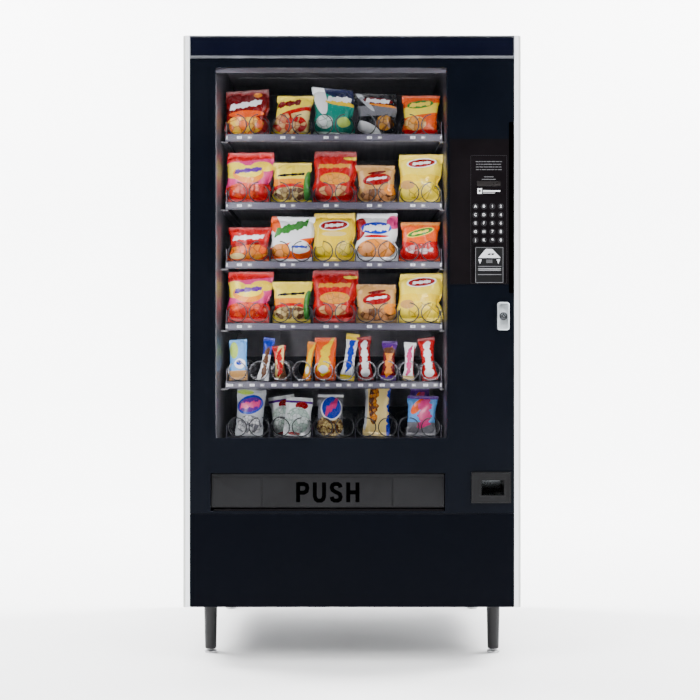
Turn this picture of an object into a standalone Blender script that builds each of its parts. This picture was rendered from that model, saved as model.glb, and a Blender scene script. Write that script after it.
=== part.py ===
"""Glass-front snack vending machine, built as an assembly of separate named pieces.

Metres, +Z up. The front faces -Y, +X is to the right of someone who faces the machine, and
the origin is on the floor at the centre of the overall box.
"""

import math

import bmesh
import bpy
from mathutils import Matrix, Vector

# --- Overall size and clearances --------------------------------------------------------
WIDTH = 0.984
DEPTH = 0.889
HEIGHT = 1.829
GAP = 0.0003  # between pieces that touch
HANDLE_PROUD = 0.012
INLET_PROUD = 0.005

# --- Cabinet ----------------------------------------------------------------------------
FLOOR_CLEARANCE = 0.1555  # height of the cabinet's underside on its legs
WALL = 0.008
CABINET_HALF = 0.488
CABINET_BACK = DEPTH / 2 - INLET_PROUD
LINER = 0.004
LINER_LEFT = -0.406  # inner faces of the two liner walls
LINER_RIGHT = 0.2865
LEDGE = 0.004

# --- Door -------------------------------------------------------------------------------
FRONT = -DEPTH / 2 + HANDLE_PROUD  # plane of the door's outer panels
DOOR_THICK = 0.102
DOOR_BACK = FRONT + DOOR_THICK
SEAM = 0.003  # between door and cabinet
CABINET_FRONT = DOOR_BACK + SEAM
HINGE_LEAF = 0.0045
DOOR_LOW = FLOOR_CLEARANCE + HINGE_LEAF
DOOR_HIGH = HEIGHT - HINGE_LEAF
DOOR_HALF = 0.4915
PANEL_HALF = 0.4724  # half width between the two side trims
TRIM_DEPTH = 0.047
PANEL_RECESS = 0.002  # door skin behind the outer panels
PANEL_THICK = 0.012
SKIN_BACK = FRONT + 0.016
RIM = 0.015
TUNNEL_WALL = 0.004
HINGE_X = -WIDTH / 2 + 0.008
HINGE_Y = DOOR_BACK - 0.020
HINGE_PIN_R = 0.005
HINGE_PIN_LONG = 0.014
HINGE_LEAF_X = (0.0065, 0.044)  # how far a leaf reaches to either side of its pin
HINGE_LEAF_FRONT = 0.016  # ahead of the pin
HINGE_LEAF_REAR = 0.065  # into the cabinet

# --- Window, header and kick panel ------------------------------------------------------
GLASS_X = (-0.4095, 0.2790)
GLASS_Z = (0.6415, 1.7365)
GLASS_THICK = 0.006
GLASS_FRONT = FRONT + 0.0035
GLASS_ROOM = 0.0015
BEZEL_X = (-0.4135, 0.2822)
BEZEL_Z = (0.5504, 1.7400)
SIGHT_X = (-0.3967, 0.2773)
SIGHT_Z = (0.6527, 1.7313)
HEADER_Z = 1.7579
HEADER_LINE = 0.0079
KICK_TOP = 0.4327

# --- Delivery area ----------------------------------------------------------------------
TUNNEL_X = (-0.4120, 0.2710)
TUNNEL_Z = (0.4402, 0.5500)
FLAP_X = (-0.4095, 0.2684)
FLAP_HINGE = (FRONT + 0.013, 0.5455)  # y, z of the flap's pin
FLAP_LONG = 0.095
FLAP_THICK = 0.006
FLAP_LEAN = math.radians(4)
FLAP_SEAMS = (-0.2625, 0.1179)
FLAP_PIN_R = 0.0025
FLAP_PIN_OUT = 0.0045  # each end of the pin, past the panel
BIN_X = (-0.4035, 0.2680)
BIN_BACK = -0.200
BIN_TOP = 0.564
BAFFLE_HINGE = (-0.212, 0.556)  # y, z of the baffle's pin
BAFFLE_LONG = 0.100
BAFFLE_PIN_R = 0.002
BAFFLE_PIN_OUT = 0.005
BAFFLE_THICK = 0.003
PIN_ROOM = 0.0003

# --- Controls ---------------------------------------------------------------------------
PLATE_X = (0.2852, 0.4569)
PLATE_Z = (1.1007, 1.5231)
CONTROLS_X = (0.300, 0.452)  # opening in the door skin behind the plate
CONTROLS_Z = (1.110, 1.515)
KEY_COLUMNS = 4
KEY_ROWS = 5
KEY_PITCH = 0.02455
KEY_FIRST = (0.3595, 1.3271)  # x, z of the upper left key
KEY_R = 0.00815
KEY_PROUD = 0.0015
KEY_FLANGE_R = 0.0095
KEY_FLANGE_THICK = 0.0018
KEY_EDGE = 0.0008
KEY_ROOM = 0.00045
BILL_X = (0.3582, 0.4401)
BILL_Z = (1.1042, 1.2083)
BILL_SLOT_X = (0.3661, 0.4342)
BILL_SLOT_Z = (1.1392, 1.1471)
COIN_X = (0.3473, 0.4628)
COIN_Z = (0.4633, 0.5541)
CUP_X = (0.3760, 0.4431)
CUP_Z = (0.4860, 0.5304)
CUP_WALLS = (0.010, 0.012)  # at the sides, above and below
CUP_DEEP = 0.050
LOCK = (0.4400, 1.0075)  # x, z of the lock's axis
HANDLE_SIZE = (0.0355, 0.0820)
HANDLE_CLEAR = 0.0005  # between the handle's back and the front panels
STEM_R = 0.011
CYLINDER_R = 0.0092

# --- Trays and spirals ------------------------------------------------------------------
TRAY_X = (-0.3918, 0.2802)
TRAY_FRONT = FRONT + 0.255
TRAY_BACK = 0.385
TRAY_TOPS = (1.5793, 1.3682, 1.1846, 0.9932, 0.8116, 0.6360)  # upper edges of the front strips
TRAY_LANES = (5, 5, 5, 5, 10, 5)
STRIP_HIGH = 0.0227
STRIP_THICK = 0.004
SHEET = 0.002
TRAY_FLOOR = 0.003
DIVIDER_HIGH = 0.040
BACK_PLATE_HIGH = 0.075
SPIRAL_R = 0.0295
SPIRAL_WIRE_R = 0.0018
SPIRAL_AXIS = 0.0326  # above the strip's upper edge
SPIRAL_TURNS = 8
SPIRAL_STEPS = 12  # points in a turn
SPIRAL_FRONT = TRAY_FRONT + 0.008
SPIRAL_REAR = TRAY_BACK - 0.060
SPIRALS = (  # name, tray number, place in pitches of half a wide lane, direction of the winding
    ("spiral_1_left", 0, 0, 1),
    ("spiral_1_right", 0, 1, -1),
    ("spiral_candy", 4, 0, 1),
)

# --- Legs, feet and mains inlet ---------------------------------------------------------
LEG_X = 0.4252
LEG_FRONT_Y = FRONT + 0.135
LEG_REAR_Y = 0.390
LEG_TOP_R = 0.0206
LEG_LOW_R = 0.0170
FOOT_HIGH = 0.012
FOOT_R = 0.019
FOOT_STEM_R = 0.006
FOOT_STEM_LONG = 0.030
INLET_AT = (0.355, 0.275)  # x, z of the inlet's centre
INLET_FLANGE = 0.050
INLET_SOCKET = (0.026, 0.019)

# --- Materials: colour, roughness, metallic ---------------------------------------------
FINISHES = {
    "cabinet_paint": ((0.018, 0.019, 0.024), 0.55, 0.0),
    "door_paint": ((0.006, 0.007, 0.016), 0.38, 0.0),
    "header_navy": ((0.008, 0.011, 0.032), 0.30, 0.0),
    "trim_silver": ((0.62, 0.65, 0.70), 0.28, 1.0),
    "trim_white": ((0.86, 0.88, 0.90), 0.40, 0.0),
    "glass": ((0.90, 0.95, 0.96), 0.03, 0.0),
    "panel_black": ((0.016, 0.014, 0.014), 0.45, 0.0),
    "flap_charcoal": ((0.045, 0.045, 0.047), 0.60, 0.0),
    "key_rubber": ((0.060, 0.060, 0.066), 0.65, 0.0),
    "steel": ((0.58, 0.58, 0.60), 0.30, 1.0),
    "tray_steel": ((0.10, 0.10, 0.13), 0.45, 0.6),
    "spiral_black": ((0.02, 0.02, 0.022), 0.35, 0.5),
    "leg_black": ((0.010, 0.010, 0.011), 0.50, 0.0),
    "plastic_black": ((0.014, 0.014, 0.015), 0.50, 0.0),
}


def clear_scene():
    for obj in list(bpy.data.objects):
        bpy.data.objects.remove(obj, do_unlink=True)


def new_collection(name, helper=False):
    made = bpy.data.collections.new(name)
    bpy.context.scene.collection.children.link(made)
    made.hide_render = helper
    return made


def material(name):
    """The Principled material of one finish, made once."""
    known = bpy.data.materials.get(name)
    if known:
        return known
    colour, roughness, metallic = FINISHES[name]
    made = bpy.data.materials.new(name)
    made.use_nodes = True
    shader = made.node_tree.nodes["Principled BSDF"]
    shader.inputs["Base Color"].default_value = (*colour, 1.0)
    shader.inputs["Roughness"].default_value = roughness
    shader.inputs["Metallic"].default_value = metallic
    made.diffuse_color = (*colour, 1.0)
    return made


clear_scene()
PARTS = new_collection("snack_vending_machine")
CUTTERS = new_collection("cutters", helper=True)


# --- Building blocks --------------------------------------------------------------------
def place(obj, at, finish):
    """Puts a new object in the scene: a part with its finish, or a cutter where finish is None."""
    obj.location = at
    if finish is None:
        CUTTERS.objects.link(obj)
        obj.hide_render = True
        obj.display_type = "WIRE"
    else:
        PARTS.objects.link(obj)
        obj.data.materials.append(material(finish))
    return obj


def add_box(mesh, low, high):
    size = Vector(high) - Vector(low)
    middle = (Vector(high) + Vector(low)) / 2
    bmesh.ops.create_cube(mesh, size=1, matrix=Matrix.Translation(middle) @ Matrix.Diagonal((*size, 1)))


def boxes(name, spans, finish=None, at=(0, 0, 0)):
    """One object made of separate boxes, each given as its X, Y and Z spans in world places."""
    mesh = bmesh.new()
    for span_x, span_y, span_z in spans:
        low = Vector((span_x[0], span_y[0], span_z[0])) - Vector(at)
        high = Vector((span_x[1], span_y[1], span_z[1])) - Vector(at)
        add_box(mesh, low, high)
    data = bpy.data.meshes.new(name)
    mesh.to_mesh(data)
    mesh.free()
    return place(bpy.data.objects.new(name, data), at, finish)


def box(name, span_x, span_y, span_z, finish=None, at=(0, 0, 0)):
    return boxes(name, [(span_x, span_y, span_z)], finish, at)


def rods(name, ends, radius, segments, finish=None, at=(0, 0, 0)):
    """One object made of separate round rods, each given as its two end points in world places."""
    mesh = bmesh.new()
    for start, end in ends:
        start = Vector(start) - Vector(at)
        end = Vector(end) - Vector(at)
        turn = (end - start).to_track_quat("Z", "Y").to_matrix().to_4x4()
        bmesh.ops.create_cone(
            mesh,
            cap_ends=True,
            segments=segments,
            radius1=radius,
            radius2=radius,
            depth=(end - start).length,
            matrix=Matrix.Translation((start + end) / 2) @ turn,
        )
    data = bpy.data.meshes.new(name)
    mesh.to_mesh(data)
    mesh.free()
    return place(smooth(bpy.data.objects.new(name, data)), at, finish)


def smooth(obj):
    obj.data.shade_smooth()
    obj.data.set_sharp_from_angle(angle=math.radians(35))
    return obj


def turned(name, profile, segments, at, finish, forward=False):
    """A solid of revolution about its own Z, which points to -Y when forward is set.

    The profile runs from the top of the axis down the outside: pairs of radius and height.
    """
    data = bpy.data.meshes.new(name)
    points = [(radius, 0, height) for radius, height in profile]
    data.from_pydata(points, [(i, i + 1) for i in range(len(points) - 1)], [])
    obj = place(bpy.data.objects.new(name, data), at, finish)
    obj.rotation_euler.x = math.pi / 2 if forward else 0
    screw = obj.modifiers.new("turn", "SCREW")
    screw.steps = segments
    screw.render_steps = segments
    screw.use_merge_vertices = True
    screw.merge_threshold = 0.00002
    screw.use_smooth_shade = False
    return obj


def combine(obj, tool, operation="DIFFERENCE"):
    step = obj.modifiers.new(tool.name, "BOOLEAN")
    step.operation = operation
    step.solver = "EXACT"
    step.object = tool
    return obj


def cut(obj, name, span_x, span_y, span_z):
    return combine(obj, box(f"cut_{obj.name}_{name}", span_x, span_y, span_z))


def join(obj, name, span_x, span_y, span_z):
    return combine(obj, box(f"add_{obj.name}_{name}", span_x, span_y, span_z), "UNION")


def soften(obj, width, segments=1):
    """Bevels the sharp edges of an object."""
    bevel = obj.modifiers.new("soften", "BEVEL")
    bevel.width = width
    bevel.segments = segments
    bevel.limit_method = "ANGLE"
    bevel.angle_limit = math.radians(50)
    return obj


def grown(span, by):
    return (span[0] - by, span[1] + by)


def around(middle, size):
    return (middle - size / 2, middle + size / 2)


def world_place(obj):
    return obj.location + (world_place(obj.parent) if obj.parent else Vector())


def axis_empty(name, at, parent=None):
    """An empty on a joint's axis, which carries the pieces of one moving body."""
    empty = bpy.data.objects.new(name, None)
    empty.empty_display_size = 0.03
    empty.location = at
    PARTS.objects.link(empty)
    return adopt(empty, parent) if parent else empty


def adopt(child, parent):
    child.location = child.location - world_place(parent)
    child.parent = parent
    return child


# --- Cabinet ----------------------------------------------------------------------------
def cabinet_shell():
    outer = (-CABINET_HALF, CABINET_HALF)
    height = (FLOOR_CLEARANCE, HEIGHT)
    shell = box("cabinet_shell", outer, (CABINET_FRONT, CABINET_BACK), height, "cabinet_paint")
    inner_y = (CABINET_FRONT - WALL, CABINET_BACK - WALL)
    cut(shell, "inside", grown(outer, -WALL), inner_y, grown(height, -WALL))
    pocket_x = (-WIDTH / 2 - WALL, HINGE_X + HINGE_LEAF_X[1] + GAP)
    pocket_y = (CABINET_FRONT - WALL, CABINET_FRONT + HINGE_LEAF_REAR + GAP)
    cut(shell, "hinge_top", pocket_x, pocket_y, (DOOR_HIGH, HEIGHT + WALL))
    cut(shell, "hinge_low", pocket_x, pocket_y, (FLOOR_CLEARANCE - WALL, DOOR_LOW))
    socket_x = around(INLET_AT[0], INLET_SOCKET[0] + 0.010)
    socket_z = around(INLET_AT[1], INLET_SOCKET[1] + 0.010)
    cut(shell, "inlet", socket_x, (CABINET_BACK - 2 * WALL, CABINET_BACK + WALL), socket_z)
    return shell


def liner_wall(name, span_x, ledge_x):
    """A wall of the product space, with a ledge under the edge of each tray."""
    span_y = (CABINET_FRONT + 0.002, CABINET_BACK - WALL - GAP)
    span_z = (FLOOR_CLEARANCE + WALL + GAP, HEIGHT - WALL - GAP)
    wall = box(name, span_x, span_y, span_z, "steel")
    ledges = []
    for top in TRAY_TOPS:
        ledge_top = top - STRIP_HIGH - GAP
        ledges.append((ledge_x, (TRAY_FRONT + 0.0075, TRAY_BACK), (ledge_top - LEDGE, ledge_top)))
    return combine(wall, boxes(f"add_{name}_ledges", ledges), "UNION")


def hinge_plate(name, span_z, pin_low, pin_high):
    """A leaf let into the cabinet, with the pin that the door swings on."""
    span_x = (HINGE_X - HINGE_LEAF_X[0], HINGE_X + HINGE_LEAF_X[1])
    leaf = box(name, span_x, (HINGE_Y - HINGE_LEAF_FRONT, CABINET_FRONT + HINGE_LEAF_REAR), span_z, "steel")
    ends = [((HINGE_X, HINGE_Y, pin_low), (HINGE_X, HINGE_Y, pin_high))]
    return combine(leaf, rods(f"add_{name}_pin", ends, HINGE_PIN_R, 16), "UNION")


def leg(name, x, y):
    bore_r = FOOT_STEM_R + 0.0004
    low = FOOT_HIGH + GAP
    bore_top = FOOT_HIGH + FOOT_STEM_LONG + 0.004
    profile = [
        (0, FLOOR_CLEARANCE - GAP),
        (LEG_TOP_R, FLOOR_CLEARANCE - GAP),
        (LEG_LOW_R, low),
        (bore_r, low),
        (bore_r, bore_top),
        (0, bore_top),
    ]
    return turned(name, profile, 20, (x, y, 0), "leg_black")


def levelling_foot(name, x, y):
    profile = [
        (0, FOOT_HIGH + FOOT_STEM_LONG),
        (FOOT_STEM_R, FOOT_HIGH + FOOT_STEM_LONG),
        (FOOT_STEM_R, FOOT_HIGH),
        (FOOT_R - 0.004, FOOT_HIGH),
        (FOOT_R, FOOT_HIGH - 0.004),
        (FOOT_R, 0.001),
        (FOOT_R - 0.001, 0),
        (0, 0),
    ]
    return turned(name, profile, 20, (x, y, 0), "steel")


def power_inlet():
    flange_x = around(INLET_AT[0], INLET_FLANGE)
    flange_z = around(INLET_AT[1], INLET_FLANGE)
    outer = CABINET_BACK + INLET_PROUD
    inlet = box("power_inlet", flange_x, (CABINET_BACK + GAP, outer), flange_z, "plastic_black")
    body_x = around(INLET_AT[0], INLET_SOCKET[0] + 0.008)
    body_z = around(INLET_AT[1], INLET_SOCKET[1] + 0.008)
    join(inlet, "body", body_x, (CABINET_BACK - 0.024, CABINET_BACK + 0.002), body_z)
    socket_x = around(INLET_AT[0], INLET_SOCKET[0])
    socket_z = around(INLET_AT[1], INLET_SOCKET[1])
    return cut(inlet, "socket", socket_x, (outer - 0.020, outer + 0.010), socket_z)


# --- Door structure ---------------------------------------------------------------------
def door_frame():
    """The door's pan: a skin with a deep rim, and a tunnel round each of its two openings."""
    skin = FRONT + PANEL_RECESS
    panel_back = FRONT + PANEL_THICK + GAP
    frame = box("door_frame", (-DOOR_HALF, DOOR_HALF), (skin, DOOR_BACK), (DOOR_LOW, DOOR_HIGH), "door_paint")
    beyond = (FRONT - 0.01, DOOR_BACK + 0.01)
    trim_y = (FRONT - 0.01, FRONT + TRIM_DEPTH + GAP)
    tall = (DOOR_LOW - 0.01, DOOR_HIGH + 0.01)
    wide = (-DOOR_HALF - 0.01, DOOR_HALF + 0.01)
    cut(frame, "left_trim", (wide[0], -PANEL_HALF), trim_y, tall)
    cut(frame, "right_trim", (PANEL_HALF, wide[1]), trim_y, tall)
    cut(frame, "header", wide, (FRONT - 0.01, panel_back), (HEADER_Z - GAP, tall[1]))
    cut(frame, "kick", wide, (FRONT - 0.01, panel_back), (tall[0], KICK_TOP + GAP))
    inner_x = (-DOOR_HALF + RIM, DOOR_HALF - RIM)
    inner_z = (DOOR_LOW + RIM, DOOR_HIGH - RIM)
    pocket_y = (SKIN_BACK, DOOR_BACK + 0.01)
    hole_x = grown(GLASS_X, GLASS_ROOM)
    hole_z = grown(GLASS_Z, GLASS_ROOM)
    left_edge = TUNNEL_X[0] - TUNNEL_WALL
    right_edge = hole_x[1] + TUNNEL_WALL
    tunnel_low = TUNNEL_Z[0] - TUNNEL_WALL
    tunnel_high = TUNNEL_Z[1] + TUNNEL_WALL
    cut(frame, "left_pocket", (inner_x[0], left_edge), pocket_y, inner_z)
    cut(frame, "right_pocket", (right_edge, inner_x[1]), pocket_y, inner_z)
    cut(frame, "top_pocket", inner_x, pocket_y, (hole_z[1] + TUNNEL_WALL, inner_z[1]))
    cut(frame, "low_pocket", inner_x, pocket_y, (inner_z[0], tunnel_low))
    cut(frame, "rail_pocket", (left_edge, right_edge), pocket_y, (tunnel_high, hole_z[0] - TUNNEL_WALL))
    cut(frame, "window", hole_x, beyond, hole_z)
    cut(frame, "delivery", TUNNEL_X, beyond, TUNNEL_Z)
    cut(frame, "controls", CONTROLS_X, (FRONT - 0.01, SKIN_BACK + 0.004), CONTROLS_Z)
    cup_x = grown(CUP_X, CUP_WALLS[0] + GAP)
    cup_z = grown(CUP_Z, CUP_WALLS[1] + GAP)
    cut(frame, "coin_cup", cup_x, (FRONT - 0.01, SKIN_BACK + 0.004), cup_z)
    stem = [((LOCK[0], FRONT - 0.01, LOCK[1]), (LOCK[0], SKIN_BACK + 0.004, LOCK[1]))]
    combine(frame, rods("cut_door_frame_stem", stem, STEM_R + 0.0005, 24))
    pins = []
    for low, high in ((DOOR_HIGH - RIM, DOOR_HIGH + 0.01), (DOOR_LOW - 0.01, DOOR_LOW + RIM)):
        pins.append(((HINGE_X, HINGE_Y, low), (HINGE_X, HINGE_Y, high)))
    combine(frame, rods("cut_door_frame_pins", pins, HINGE_PIN_R + PIN_ROOM, 16))
    y, z = FLAP_HINGE
    rod = [((TUNNEL_X[0] - 0.003, y, z), (TUNNEL_X[1] + 0.003, y, z))]
    combine(frame, rods("cut_door_frame_flap_pin", rod, FLAP_PIN_R + PIN_ROOM, 12))
    return frame


def header_trim():
    span_y = (FRONT - 0.001, FRONT + PANEL_THICK)
    trim = box("header_trim", (-PANEL_HALF, PANEL_HALF), span_y, (HEADER_Z, DOOR_HIGH), "trim_silver")
    hole_z = (HEADER_Z + HEADER_LINE, DOOR_HIGH - 0.0045)
    return cut(trim, "hole", grown((-PANEL_HALF, PANEL_HALF), -0.002), (FRONT - 0.01, FRONT + 0.02), hole_z)


def header_panel():
    span_x = grown((-PANEL_HALF, PANEL_HALF), -0.002 - GAP)
    span_z = (HEADER_Z + HEADER_LINE + GAP, DOOR_HIGH - 0.0045 - GAP)
    return soften(box("header_panel", span_x, (FRONT, FRONT + PANEL_THICK), span_z, "header_navy"), 0.0015)


def side_trim(name, side):
    """An edge strip with a flat front face and a chamfered outer corner, drawn as a flat outline."""
    inner = PANEL_HALF + GAP
    outer = WIDTH / 2
    chamfer = 0.0075
    back = FRONT + TRIM_DEPTH
    front_edge = [(inner, FRONT), (outer - chamfer, FRONT), (outer, FRONT + chamfer)]
    outline = [(inner, back), *front_edge, (outer, back)]
    curve = bpy.data.curves.new(name, "CURVE")
    curve.dimensions = "2D"
    curve.fill_mode = "BOTH"
    curve.extrude = (DOOR_HIGH - DOOR_LOW) / 2
    spline = curve.splines.new("POLY")
    spline.points.add(len(outline) - 1)
    for point, (x, y) in zip(spline.points, outline):
        point.co = (side * x, y, 0, 1)
    spline.use_cyclic_u = True
    return place(bpy.data.objects.new(name, curve), (0, 0, (DOOR_HIGH + DOOR_LOW) / 2), "trim_white")


def window_frame():
    """The window's bezel, whose deep lower rail is the black panel above the flap."""
    frame = box("window_frame", BEZEL_X, (FRONT, FRONT + PANEL_RECESS - GAP), BEZEL_Z, "door_paint")
    return cut(frame, "sight", SIGHT_X, (FRONT - 0.01, FRONT + 0.01), SIGHT_Z)


def window_glass():
    span_y = (GLASS_FRONT, GLASS_FRONT + GLASS_THICK)
    return box("window_glass", GLASS_X, span_y, GLASS_Z, "glass")


def kick_panel():
    span_z = (DOOR_LOW, KICK_TOP)
    span_y = (FRONT, FRONT + PANEL_THICK)
    return soften(box("kick_panel", (-PANEL_HALF, PANEL_HALF), span_y, span_z, "header_navy"), 0.002)


# --- Controls ---------------------------------------------------------------------------
def key_places():
    for row in range(KEY_ROWS):
        for column in range(KEY_COLUMNS):
            yield KEY_FIRST[0] + column * KEY_PITCH, KEY_FIRST[1] - row * KEY_PITCH


def control_panel():
    plate = box("control_panel", PLATE_X, (FRONT, FRONT + PANEL_RECESS - GAP), PLATE_Z, "panel_black")
    holes = [((x, FRONT - 0.01, z), (x, FRONT + 0.01, z)) for x, z in key_places()]
    combine(plate, rods("cut_control_panel_keys", holes, KEY_R + KEY_ROOM, 16))
    body_x = grown(BILL_X, -0.007 + GAP)
    body_z = grown(BILL_Z, -0.010 + GAP)
    return cut(plate, "validator", body_x, (FRONT - 0.01, FRONT + 0.01), body_z)


def bill_acceptor():
    front = FRONT - 0.006
    acceptor = box("bill_acceptor", BILL_X, (front, FRONT - GAP), BILL_Z, "plastic_black")
    join(acceptor, "body", grown(BILL_X, -0.007), (FRONT - 0.002, DOOR_BACK - 0.012), grown(BILL_Z, -0.010))
    return cut(acceptor, "slot", BILL_SLOT_X, (front - 0.01, front + 0.032), BILL_SLOT_Z)


def coin_return_cup():
    front = FRONT - 0.0035
    seat = FRONT + PANEL_RECESS - GAP
    cup = box("coin_return_cup", COIN_X, (front, seat), COIN_Z, "plastic_black")
    body_x = grown(CUP_X, CUP_WALLS[0])
    body_z = grown(CUP_Z, CUP_WALLS[1])
    join(cup, "body", body_x, (seat - 0.001, FRONT + CUP_DEEP + CUP_WALLS[1] - 0.004), body_z)
    return cut(cup, "cup", CUP_X, (front - 0.01, FRONT + CUP_DEEP), CUP_Z)


def selection_key(name, x, z):
    """A key with a flange behind the panel, turned about its own press direction."""
    flange_top = -PANEL_RECESS - 0.0004
    profile = [
        (0, KEY_PROUD),
        (KEY_R - KEY_EDGE, KEY_PROUD),
        (KEY_R, KEY_PROUD - KEY_EDGE),
        (KEY_R, flange_top),
        (KEY_FLANGE_R, flange_top),
        (KEY_FLANGE_R, flange_top - KEY_FLANGE_THICK),
        (0, flange_top - KEY_FLANGE_THICK),
    ]
    return turned(name, profile, 16, (x, FRONT, z), "key_rubber", forward=True)


def lock_stem():
    ends = [((LOCK[0], FRONT - HANDLE_CLEAR + GAP, LOCK[1]), (LOCK[0], FRONT + 0.060, LOCK[1]))]
    return rods("lock_stem", ends, STEM_R, 24, "steel", at=(LOCK[0], FRONT, LOCK[1]))


def t_handle():
    """The rounded pull plate, bored for the lock cylinder."""
    at = (LOCK[0], FRONT, LOCK[1])
    span_y = (FRONT - HANDLE_PROUD, FRONT - HANDLE_CLEAR)
    span_x = around(LOCK[0], HANDLE_SIZE[0])
    handle = box("t_handle", span_x, span_y, around(LOCK[1], HANDLE_SIZE[1]), "trim_silver", at=at)
    mesh = bmesh.new()
    mesh.from_mesh(handle.data)
    corners = [e for e in mesh.edges if abs((e.verts[0].co - e.verts[1].co).normalized().y) > 0.9]
    bmesh.ops.bevel(mesh, geom=corners, offset=0.007, segments=4, profile=0.5, affect="EDGES")
    mesh.to_mesh(handle.data)
    mesh.free()
    hole = [((LOCK[0], FRONT - HANDLE_PROUD - 0.01, LOCK[1]), (LOCK[0], FRONT + 0.01, LOCK[1]))]
    return combine(handle, rods("cut_t_handle_bore", hole, CYLINDER_R + 0.0004, 24))


def lock_cylinder():
    top = HANDLE_PROUD - 0.0008
    low = HANDLE_CLEAR + GAP
    profile = [(0, top), (CYLINDER_R - 0.0008, top), (CYLINDER_R, top - 0.0008), (CYLINDER_R, low), (0, low)]
    cylinder = turned("lock_cylinder", profile, 24, (LOCK[0], FRONT, LOCK[1]), "steel", forward=True)
    keyway_y = (FRONT - top - 0.002, FRONT - top + 0.004)
    return cut(cylinder, "keyway", around(LOCK[0], 0.0018), keyway_y, around(LOCK[1], 0.008))


# --- Delivery area ----------------------------------------------------------------------
def delivery_bin():
    """A pan behind the flap: a floor that reaches to the front, two low sides and a back."""
    wall = TUNNEL_WALL
    floor = TUNNEL_Z[0] + GAP
    span_y = (FRONT + 0.004, BIN_BACK)
    pan = box("delivery_bin", BIN_X, span_y, (floor, BIN_TOP), "panel_black")
    above = (floor + wall, BIN_TOP + 0.02)
    cut(pan, "inside", grown(BIN_X, -wall), (FRONT - 0.02, BIN_BACK - wall), above)
    cut(pan, "front", grown(BIN_X, 0.01), (FRONT - 0.02, CABINET_FRONT), above)
    y, z = BAFFLE_HINGE
    rod = [((BIN_X[0] + 0.0015, y, z), (BIN_X[1] - 0.0015, y, z))]
    return combine(pan, rods("cut_delivery_bin_pin", rod, BAFFLE_PIN_R + PIN_ROOM, 12))


def hinged_panel(name, span_x, hinge, long, thick, pin_r, pin_out, finish):
    """A plate that hangs from a tube, with a pin through the tube."""
    y, z = hinge
    at = (0, y, z)
    panel = box(name, span_x, around(y, thick), (z - long, z), finish, at=at)
    tube = [((span_x[0], y, z), (span_x[1], y, z))]
    pin = [((span_x[0] - pin_out, y, z), (span_x[1] + pin_out, y, z))]
    for tool in (rods(f"add_{name}_tube", tube, pin_r + 0.0015, 12), rods(f"add_{name}_pin", pin, pin_r, 12)):
        combine(panel, tool, "UNION")
    return panel


def delivery_flap():
    flap = hinged_panel(
        "delivery_flap", FLAP_X, FLAP_HINGE, FLAP_LONG, FLAP_THICK, FLAP_PIN_R, FLAP_PIN_OUT, "flap_charcoal"
    )
    y, z = FLAP_HINGE
    groove_y = (y - FLAP_THICK, y - FLAP_THICK / 2 + 0.0012)
    grooves = [(around(x, 0.0024), groove_y, (z - FLAP_LONG - 0.01, z - 0.010)) for x in FLAP_SEAMS]
    combine(flap, boxes("cut_delivery_flap_grooves", grooves))
    for step in flap.modifiers:
        lean_with(step.object, flap)
    flap.rotation_euler.x = -FLAP_LEAN
    return flap


def lean_with(tool, flap):
    """Turns a tool, whose origin is the world's, about the flap's pin by the flap's lean."""
    turn = Matrix.Rotation(-FLAP_LEAN, 4, "X")
    pin = Matrix.Translation(flap.location)
    tool.matrix_world = pin @ turn @ pin.inverted()


def anti_theft_baffle():
    span_x = grown(BIN_X, -TUNNEL_WALL - 0.003)
    return hinged_panel(
        "anti_theft_baffle",
        span_x,
        BAFFLE_HINGE,
        BAFFLE_LONG,
        BAFFLE_THICK,
        BAFFLE_PIN_R,
        BAFFLE_PIN_OUT,
        "tray_steel",
    )


# --- Trays and spirals ------------------------------------------------------------------
def lane_spans(lanes):
    """The clear X span of each lane of a tray."""
    pitch = (TRAY_X[1] - TRAY_X[0]) / lanes
    for lane in range(lanes):
        left = TRAY_X[0] + lane * pitch
        yield (left + SHEET / (1 if lane == 0 else 2), left + pitch - SHEET / (1 if lane == lanes - 1 else 2))


def tray(number, top, lanes):
    """A pan with a price strip along its front, dividers between lanes and a plate for the motors."""
    name = f"tray_{number}"
    span_z = (top - STRIP_HIGH, top + BACK_PLATE_HIGH)
    at = (0, TRAY_FRONT, top)
    pan = box(name, TRAY_X, (TRAY_FRONT, TRAY_BACK), span_z, "tray_steel", at=at)
    floor_top = top - 0.001
    beyond = (TRAY_X[0] - 0.01, TRAY_X[1] + 0.01)
    inside_y = (TRAY_FRONT + STRIP_THICK, TRAY_BACK - TRAY_FLOOR)
    above = (floor_top, span_z[1] + 0.01)
    lane_boxes = [(span, inside_y, above) for span in lane_spans(lanes)]
    combine(pan, boxes(f"cut_{name}_lanes", lane_boxes))
    under_y = (TRAY_FRONT + STRIP_THICK, TRAY_BACK + 0.01)
    cut(pan, "under", grown(TRAY_X, -SHEET), under_y, (span_z[0] - 0.01, floor_top - TRAY_FLOOR))
    cut(pan, "over", beyond, (TRAY_FRONT - 0.01, inside_y[1]), (top + DIVIDER_HIGH, span_z[1] + 0.01))
    cut(pan, "front", beyond, (TRAY_FRONT - 0.01, TRAY_FRONT + 0.020), (top, span_z[1] + 0.02))
    return pan


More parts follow.
